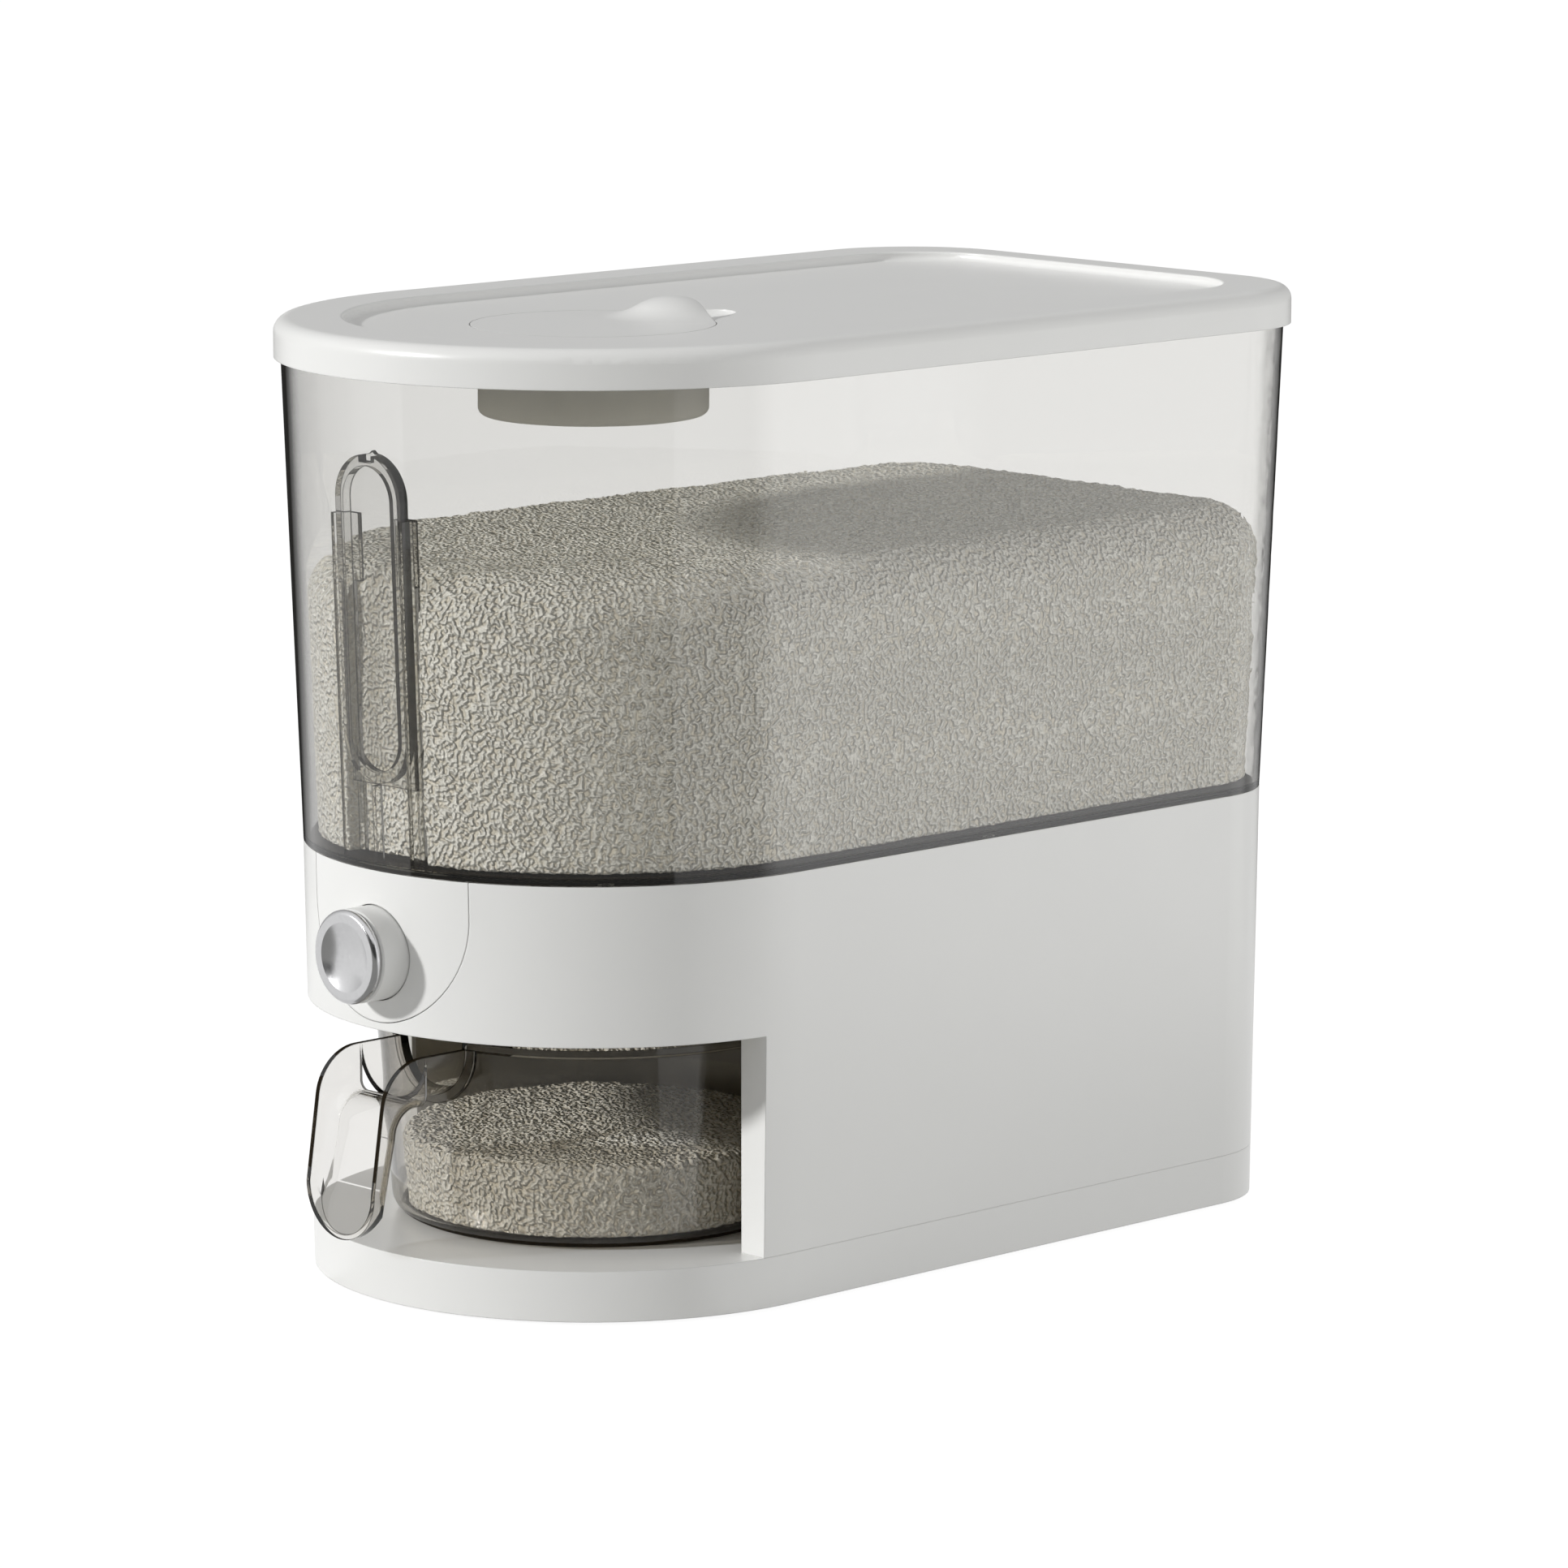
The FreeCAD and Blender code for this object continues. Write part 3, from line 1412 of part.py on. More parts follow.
def origin_plane(body, role):
    return [f for f in body.Origin.OriginFeatures if f.Role == role][0]


def make_lid_seal():
    """Wiper ring round the lid's plug, against the hopper's inside."""
    body = new_body("lid_seal")
    inside = hopper_inside(lid_under - d.plug_depth)
    ring = Drawing(body, "XY_Plane", lid_under - d.plug_depth)
    ring.plan(inside.inset(d.running_gap))
    ring.plan(inside.inset(d.plug_gap))
    pad(body, ring, d.lid_seal_height)
    return body


def make_desiccant_cover():
    """Flush disc with a bell-shaped finger tab cut off at its edge, and a plug below."""
    body = new_body("desiccant_cover")
    disc = Drawing(body, "XY_Plane", cover_under).circle(0.0, 0.0, d.cover_radius)
    pad(body, disc, d.cover_thickness)
    half = d.tab_radius / 2
    bell = Drawing(body, "YZ_Plane")
    middle = d.tab_rise / 2
    swing = (half * half + middle * middle) / middle / 2
    bell.path(
        [
            (d.tab_peak, lid_floor - d.lap),
            (d.tab_peak, lid_floor + d.tab_rise),
            (d.tab_peak - half, lid_floor + middle, swing, 1),
            (d.tab_peak - d.tab_radius, lid_floor, swing, -1),
            (d.tab_peak - d.tab_radius, lid_floor - d.lap),
        ]
    )
    axis = Drawing(body, "YZ_Plane")
    line = Part.LineSegment(
        Vector(float(d.tab_peak), 0, 0), Vector(float(d.tab_peak), float(lid_floor), 0)
    )
    index = axis.sketch.addGeometry(line, False)
    axis.pin_point(index, 1, d.tab_peak, 0.0)
    axis.pin_point(index, 2, d.tab_peak, lid_floor)
    tab = body.newObject("PartDesign::Revolution", "desiccant_cover_tab")
    tab.Profile = bell.sketch
    tab.ReferenceAxis = (axis.sketch, ["Edge1"])
    tab.Angle = 360.0
    trim = Drawing(body, "XY_Plane", cover_under)
    trim.circle(0.0, 0.0, d.cover_radius * 2)
    trim.circle(0.0, 0.0, d.cover_radius)
    pocket(body, trim, d.cover_thickness + d.tab_rise * 2)
    plug = Drawing(body, "XY_Plane", cover_under - d.cover_plug_depth)
    plug.circle(0.0, 0.0, d.cover_plug_radius)
    plug.circle(0.0, 0.0, d.cover_plug_radius - d.cover_plug_wall)
    pad(body, plug, d.cover_plug_depth + d.lap)
    return body


def make_cover_seal():
    body = new_body("cover_seal")
    ring = Drawing(body, "XY_Plane", cover_under - d.cover_plug_depth)
    ring.circle(0.0, 0.0, d.box_radius - d.box_wall - d.running_gap)
    ring.circle(0.0, 0.0, d.cover_plug_radius)
    pad(body, ring, d.cover_seal_height)
    return body


def make_desiccant_box():
    """Round cup that hangs by its lip in the lid's seat."""
    body = new_body("desiccant_box")
    outer, bottom, turn = d.box_radius, box_bottom, d.box_round
    inner = outer - d.box_wall
    floor = bottom + d.box_wall
    inner_turn = turn - d.box_wall
    outline = [
        (0.0, bottom),
        (outer - turn, bottom),
        (outer, bottom + turn, turn, 1),
        (outer, box_lip_low),
        (d.cover_radius, box_lip_low),
        (d.cover_radius, box_top),
        (inner, box_top),
        (inner, floor + inner_turn),
        (inner - inner_turn, floor, inner_turn, -1),
        (0.0, floor),
    ]
    profile = Drawing(body, "XZ_Plane").path(outline)
    turned(body, "Revolution", profile, "V_Axis")
    return body


def make_desiccant_pack():
    """Soft moisture absorber that lies in the box."""
    body = new_body("desiccant_pack")
    floor = box_bottom + d.box_wall
    radius = d.box_radius - d.box_wall - d.pack_gap
    turn = d.pack_height / 2
    outline = [
        (0.0, floor),
        (radius - turn, floor),
        (radius, floor + turn, turn, 1),
        (radius - turn, floor + d.pack_height, turn, 1),
        (0.0, floor + d.pack_height),
    ]
    turned(body, "Revolution", Drawing(body, "XZ_Plane").path(outline), "V_Axis")
    return body


# --- measuring cup ----------------------------------------------------------------------


def grip_rim(start, beyond):
    """The handle's front edges in side view, from a start outwards; beyond leaves them open."""
    if beyond > 0:
        above = d.cup_top + beyond
        reach = d.handle_reach + beyond
        return [(-start, above), (-reach, above), (-reach, d.grip_bottom)]
    return [
        (-start, d.grip_level),
        (-d.grip_bend_start, d.grip_level),
        (-d.grip_shoulder_reach, d.grip_shoulder, d.grip_bend, 1),
        (-d.handle_reach, d.grip_bottom + d.grip_half),
        (-d.handle_reach, d.grip_bottom),
    ]


def grip_band(name, inset):
    """The handle's side view as a slab: rim in front, back wall and trough floor behind."""
    body = new_body(name)
    half = d.grip_half - inset
    back = d.handle_reach - d.grip_depth + inset
    knee = back - d.grip_back_lean
    tip = d.grip_bottom
    turn = d.trough_bend + inset
    floor = trough_floor + inset
    start = d.grip_bend_start - d.grip_wall
    back_edge = [
        (d.grip_wall - inset - d.handle_reach, tip),
        (-back, tip + d.grip_half),
        (-knee, trough_floor - d.trough_bend),
        (turn - knee, floor, turn, -1),
        (-start, floor),
    ]
    outline = grip_rim(start, inset) + back_edge
    pad(body, Drawing(body, "YZ_Plane").path(outline), half * 2, both=True)
    limit = d.grip_shoulder_reach - d.grip_bend_start
    fillet(
        body,
        d.grip_round - inset,
        lambda edge: edge.BoundBox.XLength < 0.01
        and edge.CenterOfMass.y > limit - d.handle_reach + d.grip_depth - d.grip_bend
        and edge.CenterOfMass.z < floor
        and edge.CenterOfMass.z > tip + d.grip_half,
    )
    return body


def grip_pipe(name, inset):
    """The level part of the trough: a half-pipe that runs out of the cup's wall."""
    channel = new_body(name + "_channel")
    half = d.grip_half - inset
    top = d.cup_top + d.cup_wall * 2
    axis = trough_floor + d.grip_half
    drawing = Drawing(channel, "XZ_Plane", d.cup_round - d.cup_foot)
    drawing.path(
        [
            (half, top),
            (-half, top),
            (-half, axis),
            (0.0, axis - half, half, 1),
            (half, axis, half, 1),
        ]
    )
    pad(channel, drawing, d.handle_reach, towards=-1)
    side = new_body(name + "_side")
    start = d.cup_foot - d.cup_round
    outline = grip_rim(start, inset) + [(-start, d.grip_bottom)]
    pad(side, Drawing(side, "YZ_Plane").path(outline), half * 4, both=True)
    return boolean("Common", name, channel, side)


def grip_front(name, inset):
    """The handle seen from the front: straight sides and a round lower end."""
    body = new_body(name)
    half = d.grip_half - inset
    low = d.grip_bottom + inset
    top = d.cup_top + d.cup_wall * 2
    drawing = Drawing(body, "XZ_Plane", d.cup_round - d.cup_foot)
    drawing.path(
        [
            (half, top),
            (-half, top),
            (-half, low + half),
            (0.0, low, half, 1),
            (half, low + half, half, 1),
        ]
    )
    pad(body, drawing, d.handle_reach, towards=-1)
    return body


def grip(name, inset):
    band = grip_band(name + "_band", inset)
    shield = boolean("Common", name + "_shield", band, grip_front(name + "_front", inset))
    return boolean("Fuse", name, shield, grip_pipe(name + "_pipe", inset))


def cup_wall_at(height):
    """Outer radius of the cup's drafted wall at a height."""
    low = cup_low + d.cup_round
    share = (height - low) / (d.cup_top - low)
    return d.cup_foot + (d.cup_mouth - d.cup_foot) * share


def cup_fill(inset, top):
    """Half section of everything inside the cup's wall, up to a height."""
    turn = d.cup_round - inset
    low = cup_low + inset
    foot = d.cup_foot - inset
    return [
        (0.0, low),
        (foot - turn, low),
        (foot, low + turn, turn, 1),
        (cup_wall_at(top) - inset, top),
        (0.0, top),
    ]


def grip_collar():
    """U-shaped thickening of the cup's wall round the place where the trough leaves it."""
    skin = new_body("collar_skin")
    radius = d.grip_half + d.collar_width
    low = d.grip_level - radius
    outline = [
        (0.0, low),
        (cup_wall_at(low) + d.collar_proud, low),
        (cup_wall_at(d.grip_level) + d.collar_proud, d.grip_level),
        (0.0, d.grip_level),
    ]
    turned(skin, "Revolution", Drawing(skin, "XZ_Plane").path(outline), "V_Axis")
    shape = new_body("collar_shape")
    drawing = Drawing(shape, "XZ_Plane", d.cup_round - d.cup_foot)
    drawing.path(
        [
            (-radius, d.grip_level),
            (0.0, low, radius, 1),
            (radius, d.grip_level, radius, 1),
        ]
    )
    pad(shape, drawing, d.handle_reach, towards=-1)
    return boolean("Common", "grip_collar", skin, shape)


def make_measuring_cup():
    """Turned cup with a rolled lip, and a trough handle that pours through its wall."""
    outside = new_body("cup_outside")
    lip_low = d.cup_top - d.cup_lip_height
    lip_radius = cup_wall_at(lip_low) + d.cup_lip
    outline = cup_fill(0.0, lip_low)[:-1]
    outline += [
        (lip_radius, lip_low + d.cup_lip),
        (lip_radius, d.cup_top - d.cup_lip),
        (lip_radius - d.cup_lip, d.cup_top),
        (0.0, d.cup_top),
    ]
    turned(outside, "Revolution", Drawing(outside, "XZ_Plane").path(outline), "V_Axis")
    inside = new_body("cup_inside")
    fill = Drawing(inside, "XZ_Plane").path(cup_fill(d.cup_wall, d.cup_top + d.cup_wall))
    turned(inside, "Revolution", fill, "V_Axis")
    walled = boolean("Fuse", "cup_walled", outside, grip_collar())
    blank = boolean("Fuse", "cup_blank", walled, grip("grip_outside", 0.0))
    hollow = boolean("Fuse", "cup_hollow", inside, grip("grip_trough", d.grip_wall))
    return boolean("Cut", "measuring_cup", blank, hollow)


# --- rice -------------------------------------------------------------------------------


def make_hopper_rice():
    """The heap that fills the hopper and the funnel below it."""
    low = flange_top + d.rice_gap
    heap = new_body("rice_heap")
    drafted(heap, "AdditiveLoft", hopper_plan, low, d.rice_top, d.rice_inset)
    dome = new_body("rice_dome")
    widest = hopper_plan(d.rice_top).inset(d.rice_inset - d.rice_gap)
    pad(dome, Drawing(dome, "XY_Plane", low).plan(widest), d.rice_top - low)
    fillet(dome, d.rice_round, lambda edge: lies_at(edge, d.rice_top))
    notch = Drawing(dome, "XY_Plane", low)
    half = d.rice_notch
    notch.box(-half, -d.brim_half, half, -d.rice_notch_reach)
    pocket(dome, notch, d.rice_top - low)
    rounded = boolean("Common", "rice_rounded", heap, dome)
    throat = new_body("rice_throat")
    column = Drawing(throat, "XY_Plane", rim_top + d.rice_gap)
    column.plan(joint_plan.inset(d.ledge_opening + d.rice_gap))
    pad(throat, column, low - rim_top)
    lower = outlet_box(Drawing(throat, "XY_Plane", outlet_low + d.rice_gap), -d.rice_gap)
    upper = mouth_box(Drawing(throat, "XY_Plane", rim_top + d.rice_gap * 2), -d.rice_gap)
    loft(throat, "AdditiveLoft", lower, upper)
    return boolean("Fuse", "hopper_rice", rounded, throat)


def make_cup_rice():
    body = new_body("cup_rice")
    outline = cup_fill(d.cup_wall + d.cup_rice_gap, d.cup_rice_top)
    floor = cup_low + d.cup_wall + d.rice_gap
    outline[0] = (0.0, floor)
    outline[1] = (outline[1][0], floor)
    side = outline[2]
    outline[2] = (side[0], floor + d.cup_round - d.cup_wall - d.cup_rice_gap, side[2], 1)
    edge = outline[3]
    outline[3:4] = [
        (edge[0], edge[1] - d.cup_rice_round),
        (edge[0] - d.cup_rice_round, edge[1], d.cup_rice_round, 1),
    ]
    turned(body, "Revolution", Drawing(body, "XZ_Plane").path(outline), "V_Axis")
    return body


MAKERS = [
    make_rubber_feet,
    make_base_plate,
    make_base_screws,
    make_housing,
    make_bay_liner,
    make_front_cover,
    make_button_barrel,
    make_barrel_screws,
    make_button_cap,
    make_button_body,
    make_stem_screw,
    make_return_spring,
    make_gate_slide,
    make_gate_track,
    make_track_screws,
    make_funnel,
    make_hopper_seal,
    make_hopper,
    make_hopper_screws,
    make_slide_holder,
    make_lid,
    make_lid_seal,
    make_desiccant_cover,
    make_cover_seal,
    make_desiccant_box,
    make_desiccant_pack,
    make_measuring_cup,
    make_hopper_rice,
    make_cup_rice,
]


def stand_on_feet(node):
    """Bring the model's own axis to the middle of its length, and its feet to the ground."""
    shift = (d.handle_reach - d.lid_rear) / 2
    lift = d.foot_proud
    if node.Name == "slide_holder":
        shift = shift - d.holder_back
        lift = lift + d.holder_reference
    place = Vector(0, float(shift), float(lift))
    node.Placement = FreeCAD.Placement(place, node.Placement.Rotation)
    bind(node, "Placement.Base.y", shift)
    bind(node, "Placement.Base.z", lift)


CUTTING = ("PartDesign::Pocket", "PartDesign::SubtractiveLoft", "PartDesign::SubtractiveEllipsoid")


def check(nodes):
    """Stop before writing if anything failed, cut nothing, or isn't a valid solid."""
    for item in doc.Objects:
        if "Invalid" in item.State or "Error" in item.State:
            raise RuntimeError(f"{item.Name} failed: {item.State}")
        if item.TypeId in CUTTING:
            before = item.BaseFeature.Shape.Volume
            if item.Shape.Volume > before - 0.01:
                raise RuntimeError(f"{item.Name} cuts nothing")
    for node in nodes:
        if node.Shape.isNull() or not node.Shape.isValid():
            raise RuntimeError(f"{node.Label} has no valid shape")
        expected = len(node.Links) if node.TypeId == "Part::Compound" else 1
        if len(node.Shape.Solids) != expected:
            raise RuntimeError(f"{node.Label} has {len(node.Shape.Solids)} solids")


def main():
    nodes = [make() for make in MAKERS]
    for node in nodes:
        node.Label = node.Name
        stand_on_feet(node)
    doc.recompute()
    check(nodes)
    os.makedirs("parts", exist_ok=True)
    for node in nodes:
        node.Shape.exportStep(f"parts/{node.Label}.step")


main()
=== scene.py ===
"""Looks of a kitchen rice dispenser: white moulded base and lid, clear smoke-tinted hopper and cup."""

import math

import bpy
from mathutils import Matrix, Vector, noise


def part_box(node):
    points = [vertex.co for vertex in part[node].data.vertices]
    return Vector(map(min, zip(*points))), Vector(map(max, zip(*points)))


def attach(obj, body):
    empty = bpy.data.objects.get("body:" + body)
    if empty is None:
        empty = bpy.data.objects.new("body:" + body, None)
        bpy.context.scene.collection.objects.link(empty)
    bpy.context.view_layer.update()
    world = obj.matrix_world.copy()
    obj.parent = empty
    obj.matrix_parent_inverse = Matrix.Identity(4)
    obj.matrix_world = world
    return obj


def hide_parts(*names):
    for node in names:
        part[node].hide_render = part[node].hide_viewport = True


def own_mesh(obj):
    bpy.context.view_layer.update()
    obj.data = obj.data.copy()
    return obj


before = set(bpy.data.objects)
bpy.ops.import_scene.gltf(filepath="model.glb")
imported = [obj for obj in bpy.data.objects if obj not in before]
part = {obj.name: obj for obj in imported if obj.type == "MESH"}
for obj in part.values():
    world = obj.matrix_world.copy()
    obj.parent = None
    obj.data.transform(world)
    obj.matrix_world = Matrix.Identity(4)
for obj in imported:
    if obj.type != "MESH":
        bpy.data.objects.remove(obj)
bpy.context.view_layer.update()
scene = bpy.context.scene


# --- Camera -----------------------------------------------------------------------------
# A long lens about 2.5 m away, off the front right corner and a little above the lid, so
# that upright edges stay nearly parallel.

camera_data = bpy.data.cameras.new("camera")
camera_data.sensor_width = 36.0
camera_data.lens = 164.9
camera_data.clip_end = 30.0
camera = bpy.data.objects.new("camera", camera_data)
camera.location = (1.8018, -1.6955, 0.5891)
looks_at = Vector((0.0277, -0.0087, 0.1621))
camera.rotation_euler = (looks_at - camera.location).to_track_quat("-Z", "Y").to_euler()
scene.collection.objects.link(camera)
scene.camera = camera
scene.view_settings.view_transform = "Standard"


# --- Studio -----------------------------------------------------------------------------
# White paper on the floor of a pale room, a small sun from the front left and a wide lamp
# from the right and behind.  Clear and shiny pieces mirror a room with darker sides, so that
# their shapes can be read.


def linear(code):
    """An sRGB colour such as #ECEBE8 as Blender's linear colour with alpha."""
    values = [int(code[i : i + 2], 16) / 255 for i in (1, 3, 5)]
    return [v / 12.92 if v <= 0.04045 else ((v + 0.055) / 1.055) ** 2.4 for v in values] + [1.0]


def add(tree, kind, links=None, **settings):
    """Add a node; links maps inputs to plain values, to outputs, or to nodes for their first output."""
    made = tree.nodes.new("ShaderNode" + kind)
    for name, value in settings.items():
        setattr(made, name, value)
    for name, value in (links or {}).items():
        if isinstance(value, bpy.types.Node):
            value = value.outputs[0]
        if isinstance(value, bpy.types.NodeSocket):
            tree.links.new(value, made.inputs[name])
        else:
            made.inputs[name].default_value = value
    return made


def empty_material(name):
    made = bpy.data.materials.new(name)
    made.use_nodes = True
    made.node_tree.nodes.clear()
    return made, made.node_tree


def add_object(name, mesh):
    made = bpy.data.objects.new(name, mesh)
    scene.collection.objects.link(made)
    return made


def seen_straight(tree, rays):
    """1 where the background is looked at directly, or through clear walls without a turn."""
    unturned = add(tree, "Math", {0: rays.outputs["Glossy Depth"], 1: 0.5}, operation="LESS_THAN")
    clear_walls = {0: rays.outputs["Is Transmission Ray"], 1: unturned}
    through = add(tree, "Math", clear_walls, operation="MULTIPLY")
    return add(tree, "Math", {0: rays.outputs["Is Camera Ray"], 1: through}, operation="MAXIMUM")


def toward(tree, direction, side, near, far, low, high):
    """A level that goes from low to high as a direction turns towards one side of the room."""
    turned = add(tree, "VectorMath", {0: direction, 1: side}, operation="DOT_PRODUCT").outputs["Value"]
    ends = {"From Min": near, "From Max": far, "To Min": low, "To Max": high}
    return add(tree, "MapRange", {"Value": turned, **ends})


def lost_inside(tree, rays):
    """How much light that has run along inside a clear wall has lost before it comes out."""
    loss_per_turn = 0.7
    turns = {0: rays.outputs["Glossy Depth"], 1: loss_per_turn}
    loss = add(tree, "Math", turns, operation="MULTIPLY", use_clamp=True)
    return add(tree, "Math", {0: rays.outputs["Is Transmission Ray"], 1: loss}, operation="MULTIPLY")


white = linear("#FFFFFF")
lost_light = linear("#2A261E")
behind_left = (-0.73, 0.68, 0.0)
behind_right = (0.73, 0.68, 0.0)
before_the_cup = (0.4384, -0.8988, 0.0)
overhead = (0.0, 0.0, 1.0)

# The walls of the room are white, and grey towards the back left.  What lights the object is
# dimmer, and comes mostly from overhead.
world = bpy.data.worlds.new("white_room")
world.use_nodes = True
scene.world = world
room = world.node_tree
room.nodes.clear()
rays = add(room, "LightPath")
outward = add(room, "TexCoord").outputs["Generated"]
wall = toward(room, outward, behind_left, near=0.2, far=0.9, low=1.0, high=0.42)
wall = add(room, "MixRGB", {0: lost_inside(room, rays), 1: wall, 2: lost_light})
wall = add(room, "MixRGB", {0: seen_straight(room, rays), 1: wall, 2: white})
direct_or_mirrored = {0: rays.outputs["Is Camera Ray"], 1: rays.outputs["Is Glossy Ray"]}
seen = add(room, "Math", direct_or_mirrored, operation="MAXIMUM")
seen = add(room, "Math", {0: seen, 1: rays.outputs["Is Transmission Ray"]}, operation="MAXIMUM")
sky = toward(room, outward, overhead, near=0.0, far=1.0, low=0.25, high=0.51)
dim = add(room, "Background", {"Color": white, "Strength": sky})
bright = add(room, "Background", {"Color": wall, "Strength": 1.0})
both = add(room, "MixShader", {0: seen, 1: dim, 2: bright})
add(room, "OutputWorld", {"Surface": both})

# Matt white paper has no shine, and gives back a soft light from below.  Its fibres are drawn
# about 1 mm long.
fibre_length = 0.00111
paper, tree = empty_material("matt_white_paper")
rays = add(tree, "LightPath")
place = add(tree, "TexCoord").outputs["Object"]
fibre = add(tree, "TexNoise", {"Scale": 1 / fibre_length, "Detail": 3.0}).outputs["Fac"]
tone = add(tree, "MixRGB", {0: fibre, 1: linear("#C4C4C2"), 2: linear("#CECECC")})
sheet = add(tree, "BsdfDiffuse", {"Color": tone})
bounce = add(tree, "Emission", {"Color": white, "Strength": 0.12})
sheet = add(tree, "AddShader", {0: sheet, 1: bounce})

# Where it is looked at, it is nearly white up to the object's shadow.
shadowed = add(tree, "BsdfDiffuse", {"Color": linear("#6E6E6D")})
lift = add(tree, "Emission", {"Color": white, "Strength": 0.93})
shown = add(tree, "AddShader", {0: shadowed, 1: lift})

# Where it is mirrored, the floor is plain near the object, and further off it carries a painted
# reflection: painted shade to the back left and a painted pool of light to the back right, as
# under a window.  In front of the cup it carries painted grey shade.
near_floor = 0.35
far_floor = 0.7
bearing = add(tree, "VectorMath", {0: place}, operation="NORMALIZE")
# Painted shade to the back left, and a painted pool of light to the back right.
painted_far_shade = toward(tree, bearing, behind_left, near=0.70, far=0.90, low=1.0, high=0.03)
painted_window_light = toward(tree, bearing, behind_right, near=0.88, far=0.95, low=1.0, high=2.3)
level = add(tree, "Math", {0: painted_far_shade, 1: painted_window_light}, operation="MULTIPLY")
distance = add(tree, "VectorMath", {0: place}, operation="LENGTH").outputs["Value"]
beyond = add(tree, "MapRange", {"Value": distance, "From Min": near_floor, "From Max": far_floor})
level = add(tree, "MixRGB", {0: beyond, 1: linear("#F2F2F2"), 2: level})
level = add(tree, "MixRGB", {0: lost_inside(tree, rays), 1: level, 2: lost_light})
# Painted grey shade on the floor in front of the cup, seen only in reflections.
cup_low, cup_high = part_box("cup_rice")
cup_middle = (0.0, (cup_low.y + cup_high.y) / 2, 0.0)
from_cup = add(tree, "VectorMath", {0: place, 1: cup_middle}, operation="SUBTRACT")
from_cup = add(tree, "VectorMath", {0: from_cup}, operation="NORMALIZE")
shade = toward(tree, from_cup, before_the_cup, near=0.628, far=0.640, low=0.0, high=1.0)
level = add(tree, "MixRGB", {0: shade, 1: level, 2: linear("#9A9A98")})
mirrored = add(tree, "Emission", {"Color": level, "Strength": 1.0})
mirrored_or_bent = {0: rays.outputs["Is Glossy Ray"], 1: rays.outputs["Is Transmission Ray"]}
seen = add(tree, "Math", mirrored_or_bent, operation="MAXIMUM")
unseen = add(tree, "MixShader", {0: seen, 1: sheet, 2: mirrored})
both = add(tree, "MixShader", {0: seen_straight(tree, rays), 1: unseen, 2: shown})
add(tree, "OutputMaterial", {"Surface": both})

reach = 6.0
below_feet = 0.0002
corners = [(-reach, -reach, 0), (reach, -reach, 0), (reach, reach, 0), (-reach, reach, 0)]
mesh = bpy.data.meshes.new("floor")
mesh.from_pydata(corners, [], [(0, 1, 2, 3)])
floor = add_object("floor", mesh)
floor.location.z = -below_feet
floor.data.materials.append(paper)

key_data = bpy.data.lights.new("key", "SUN")
key_data.energy = 2.38
key_data.angle = math.radians(4.5)
key = bpy.data.objects.new("key", key_data)
key.rotation_euler = Vector((0.38, 0.84, -0.39)).to_track_quat("-Z", "Y").to_euler()
scene.collection.objects.link(key)

fill_data = bpy.data.lights.new("fill", "AREA")
fill_data.shape = "RECTANGLE"
fill_data.size = 1.6
fill_data.size_y = 1.4
fill_data.energy = 20.5
fill = bpy.data.objects.new("fill", fill_data)
fill.location = (2.1, 1.5, 0.75)
lights_up = Vector((0, 0, 0.15))
fill.rotation_euler = (lights_up - fill.location).to_track_quat("-Z", "Y").to_euler()
fill.visible_glossy = False
fill.visible_transmission = False
scene.collection.objects.link(fill)

# A dark curtain hangs round the front and right of the room, and only shiny surfaces show it.
curtain_radius = 5.0
curtain_left = -25.0
curtain_right = 77.4
curtain_foot = -1.0
curtain_top = 3.2
panels = 32
curtain_cloth, tree = empty_material("dark_curtain_cloth")
glow = add(tree, "Emission", {"Color": linear("#3C3C3B"), "Strength": 1.0})
add(tree, "OutputMaterial", {"Surface": glow})
rows = []
for step in range(panels + 1):
    turn = math.radians(curtain_left + (curtain_right - curtain_left) * step / panels)
    across = curtain_radius * math.sin(turn)
    ahead = -curtain_radius * math.cos(turn)
    rows += [(across, ahead, height) for height in (curtain_foot, curtain_top)]
mesh = bpy.data.meshes.new("dark_side")
mesh.from_pydata(rows, [], [(2 * i, 2 * i + 2, 2 * i + 3, 2 * i + 1) for i in range(panels)])
curtain = add_object("dark_side", mesh)
curtain.data.materials.append(curtain_cloth)
for ray in ("camera", "diffuse", "transmission", "volume_scatter", "shadow"):
    setattr(curtain, "visible_" + ray, False)


# --- Feet, base plate and housing ---------------------------------------------------------
# The housing is a white tower with the drawer bay in its front, and the base plate closes it
# from below.  Both are injection-moulded ABS, screwed together from underneath, and four
# rubber discs in the plate keep them off the worktop.


def dress(piece, material):
    """Give a piece one material all over."""
    piece.data.materials.clear()
    piece.data.materials.append(material)


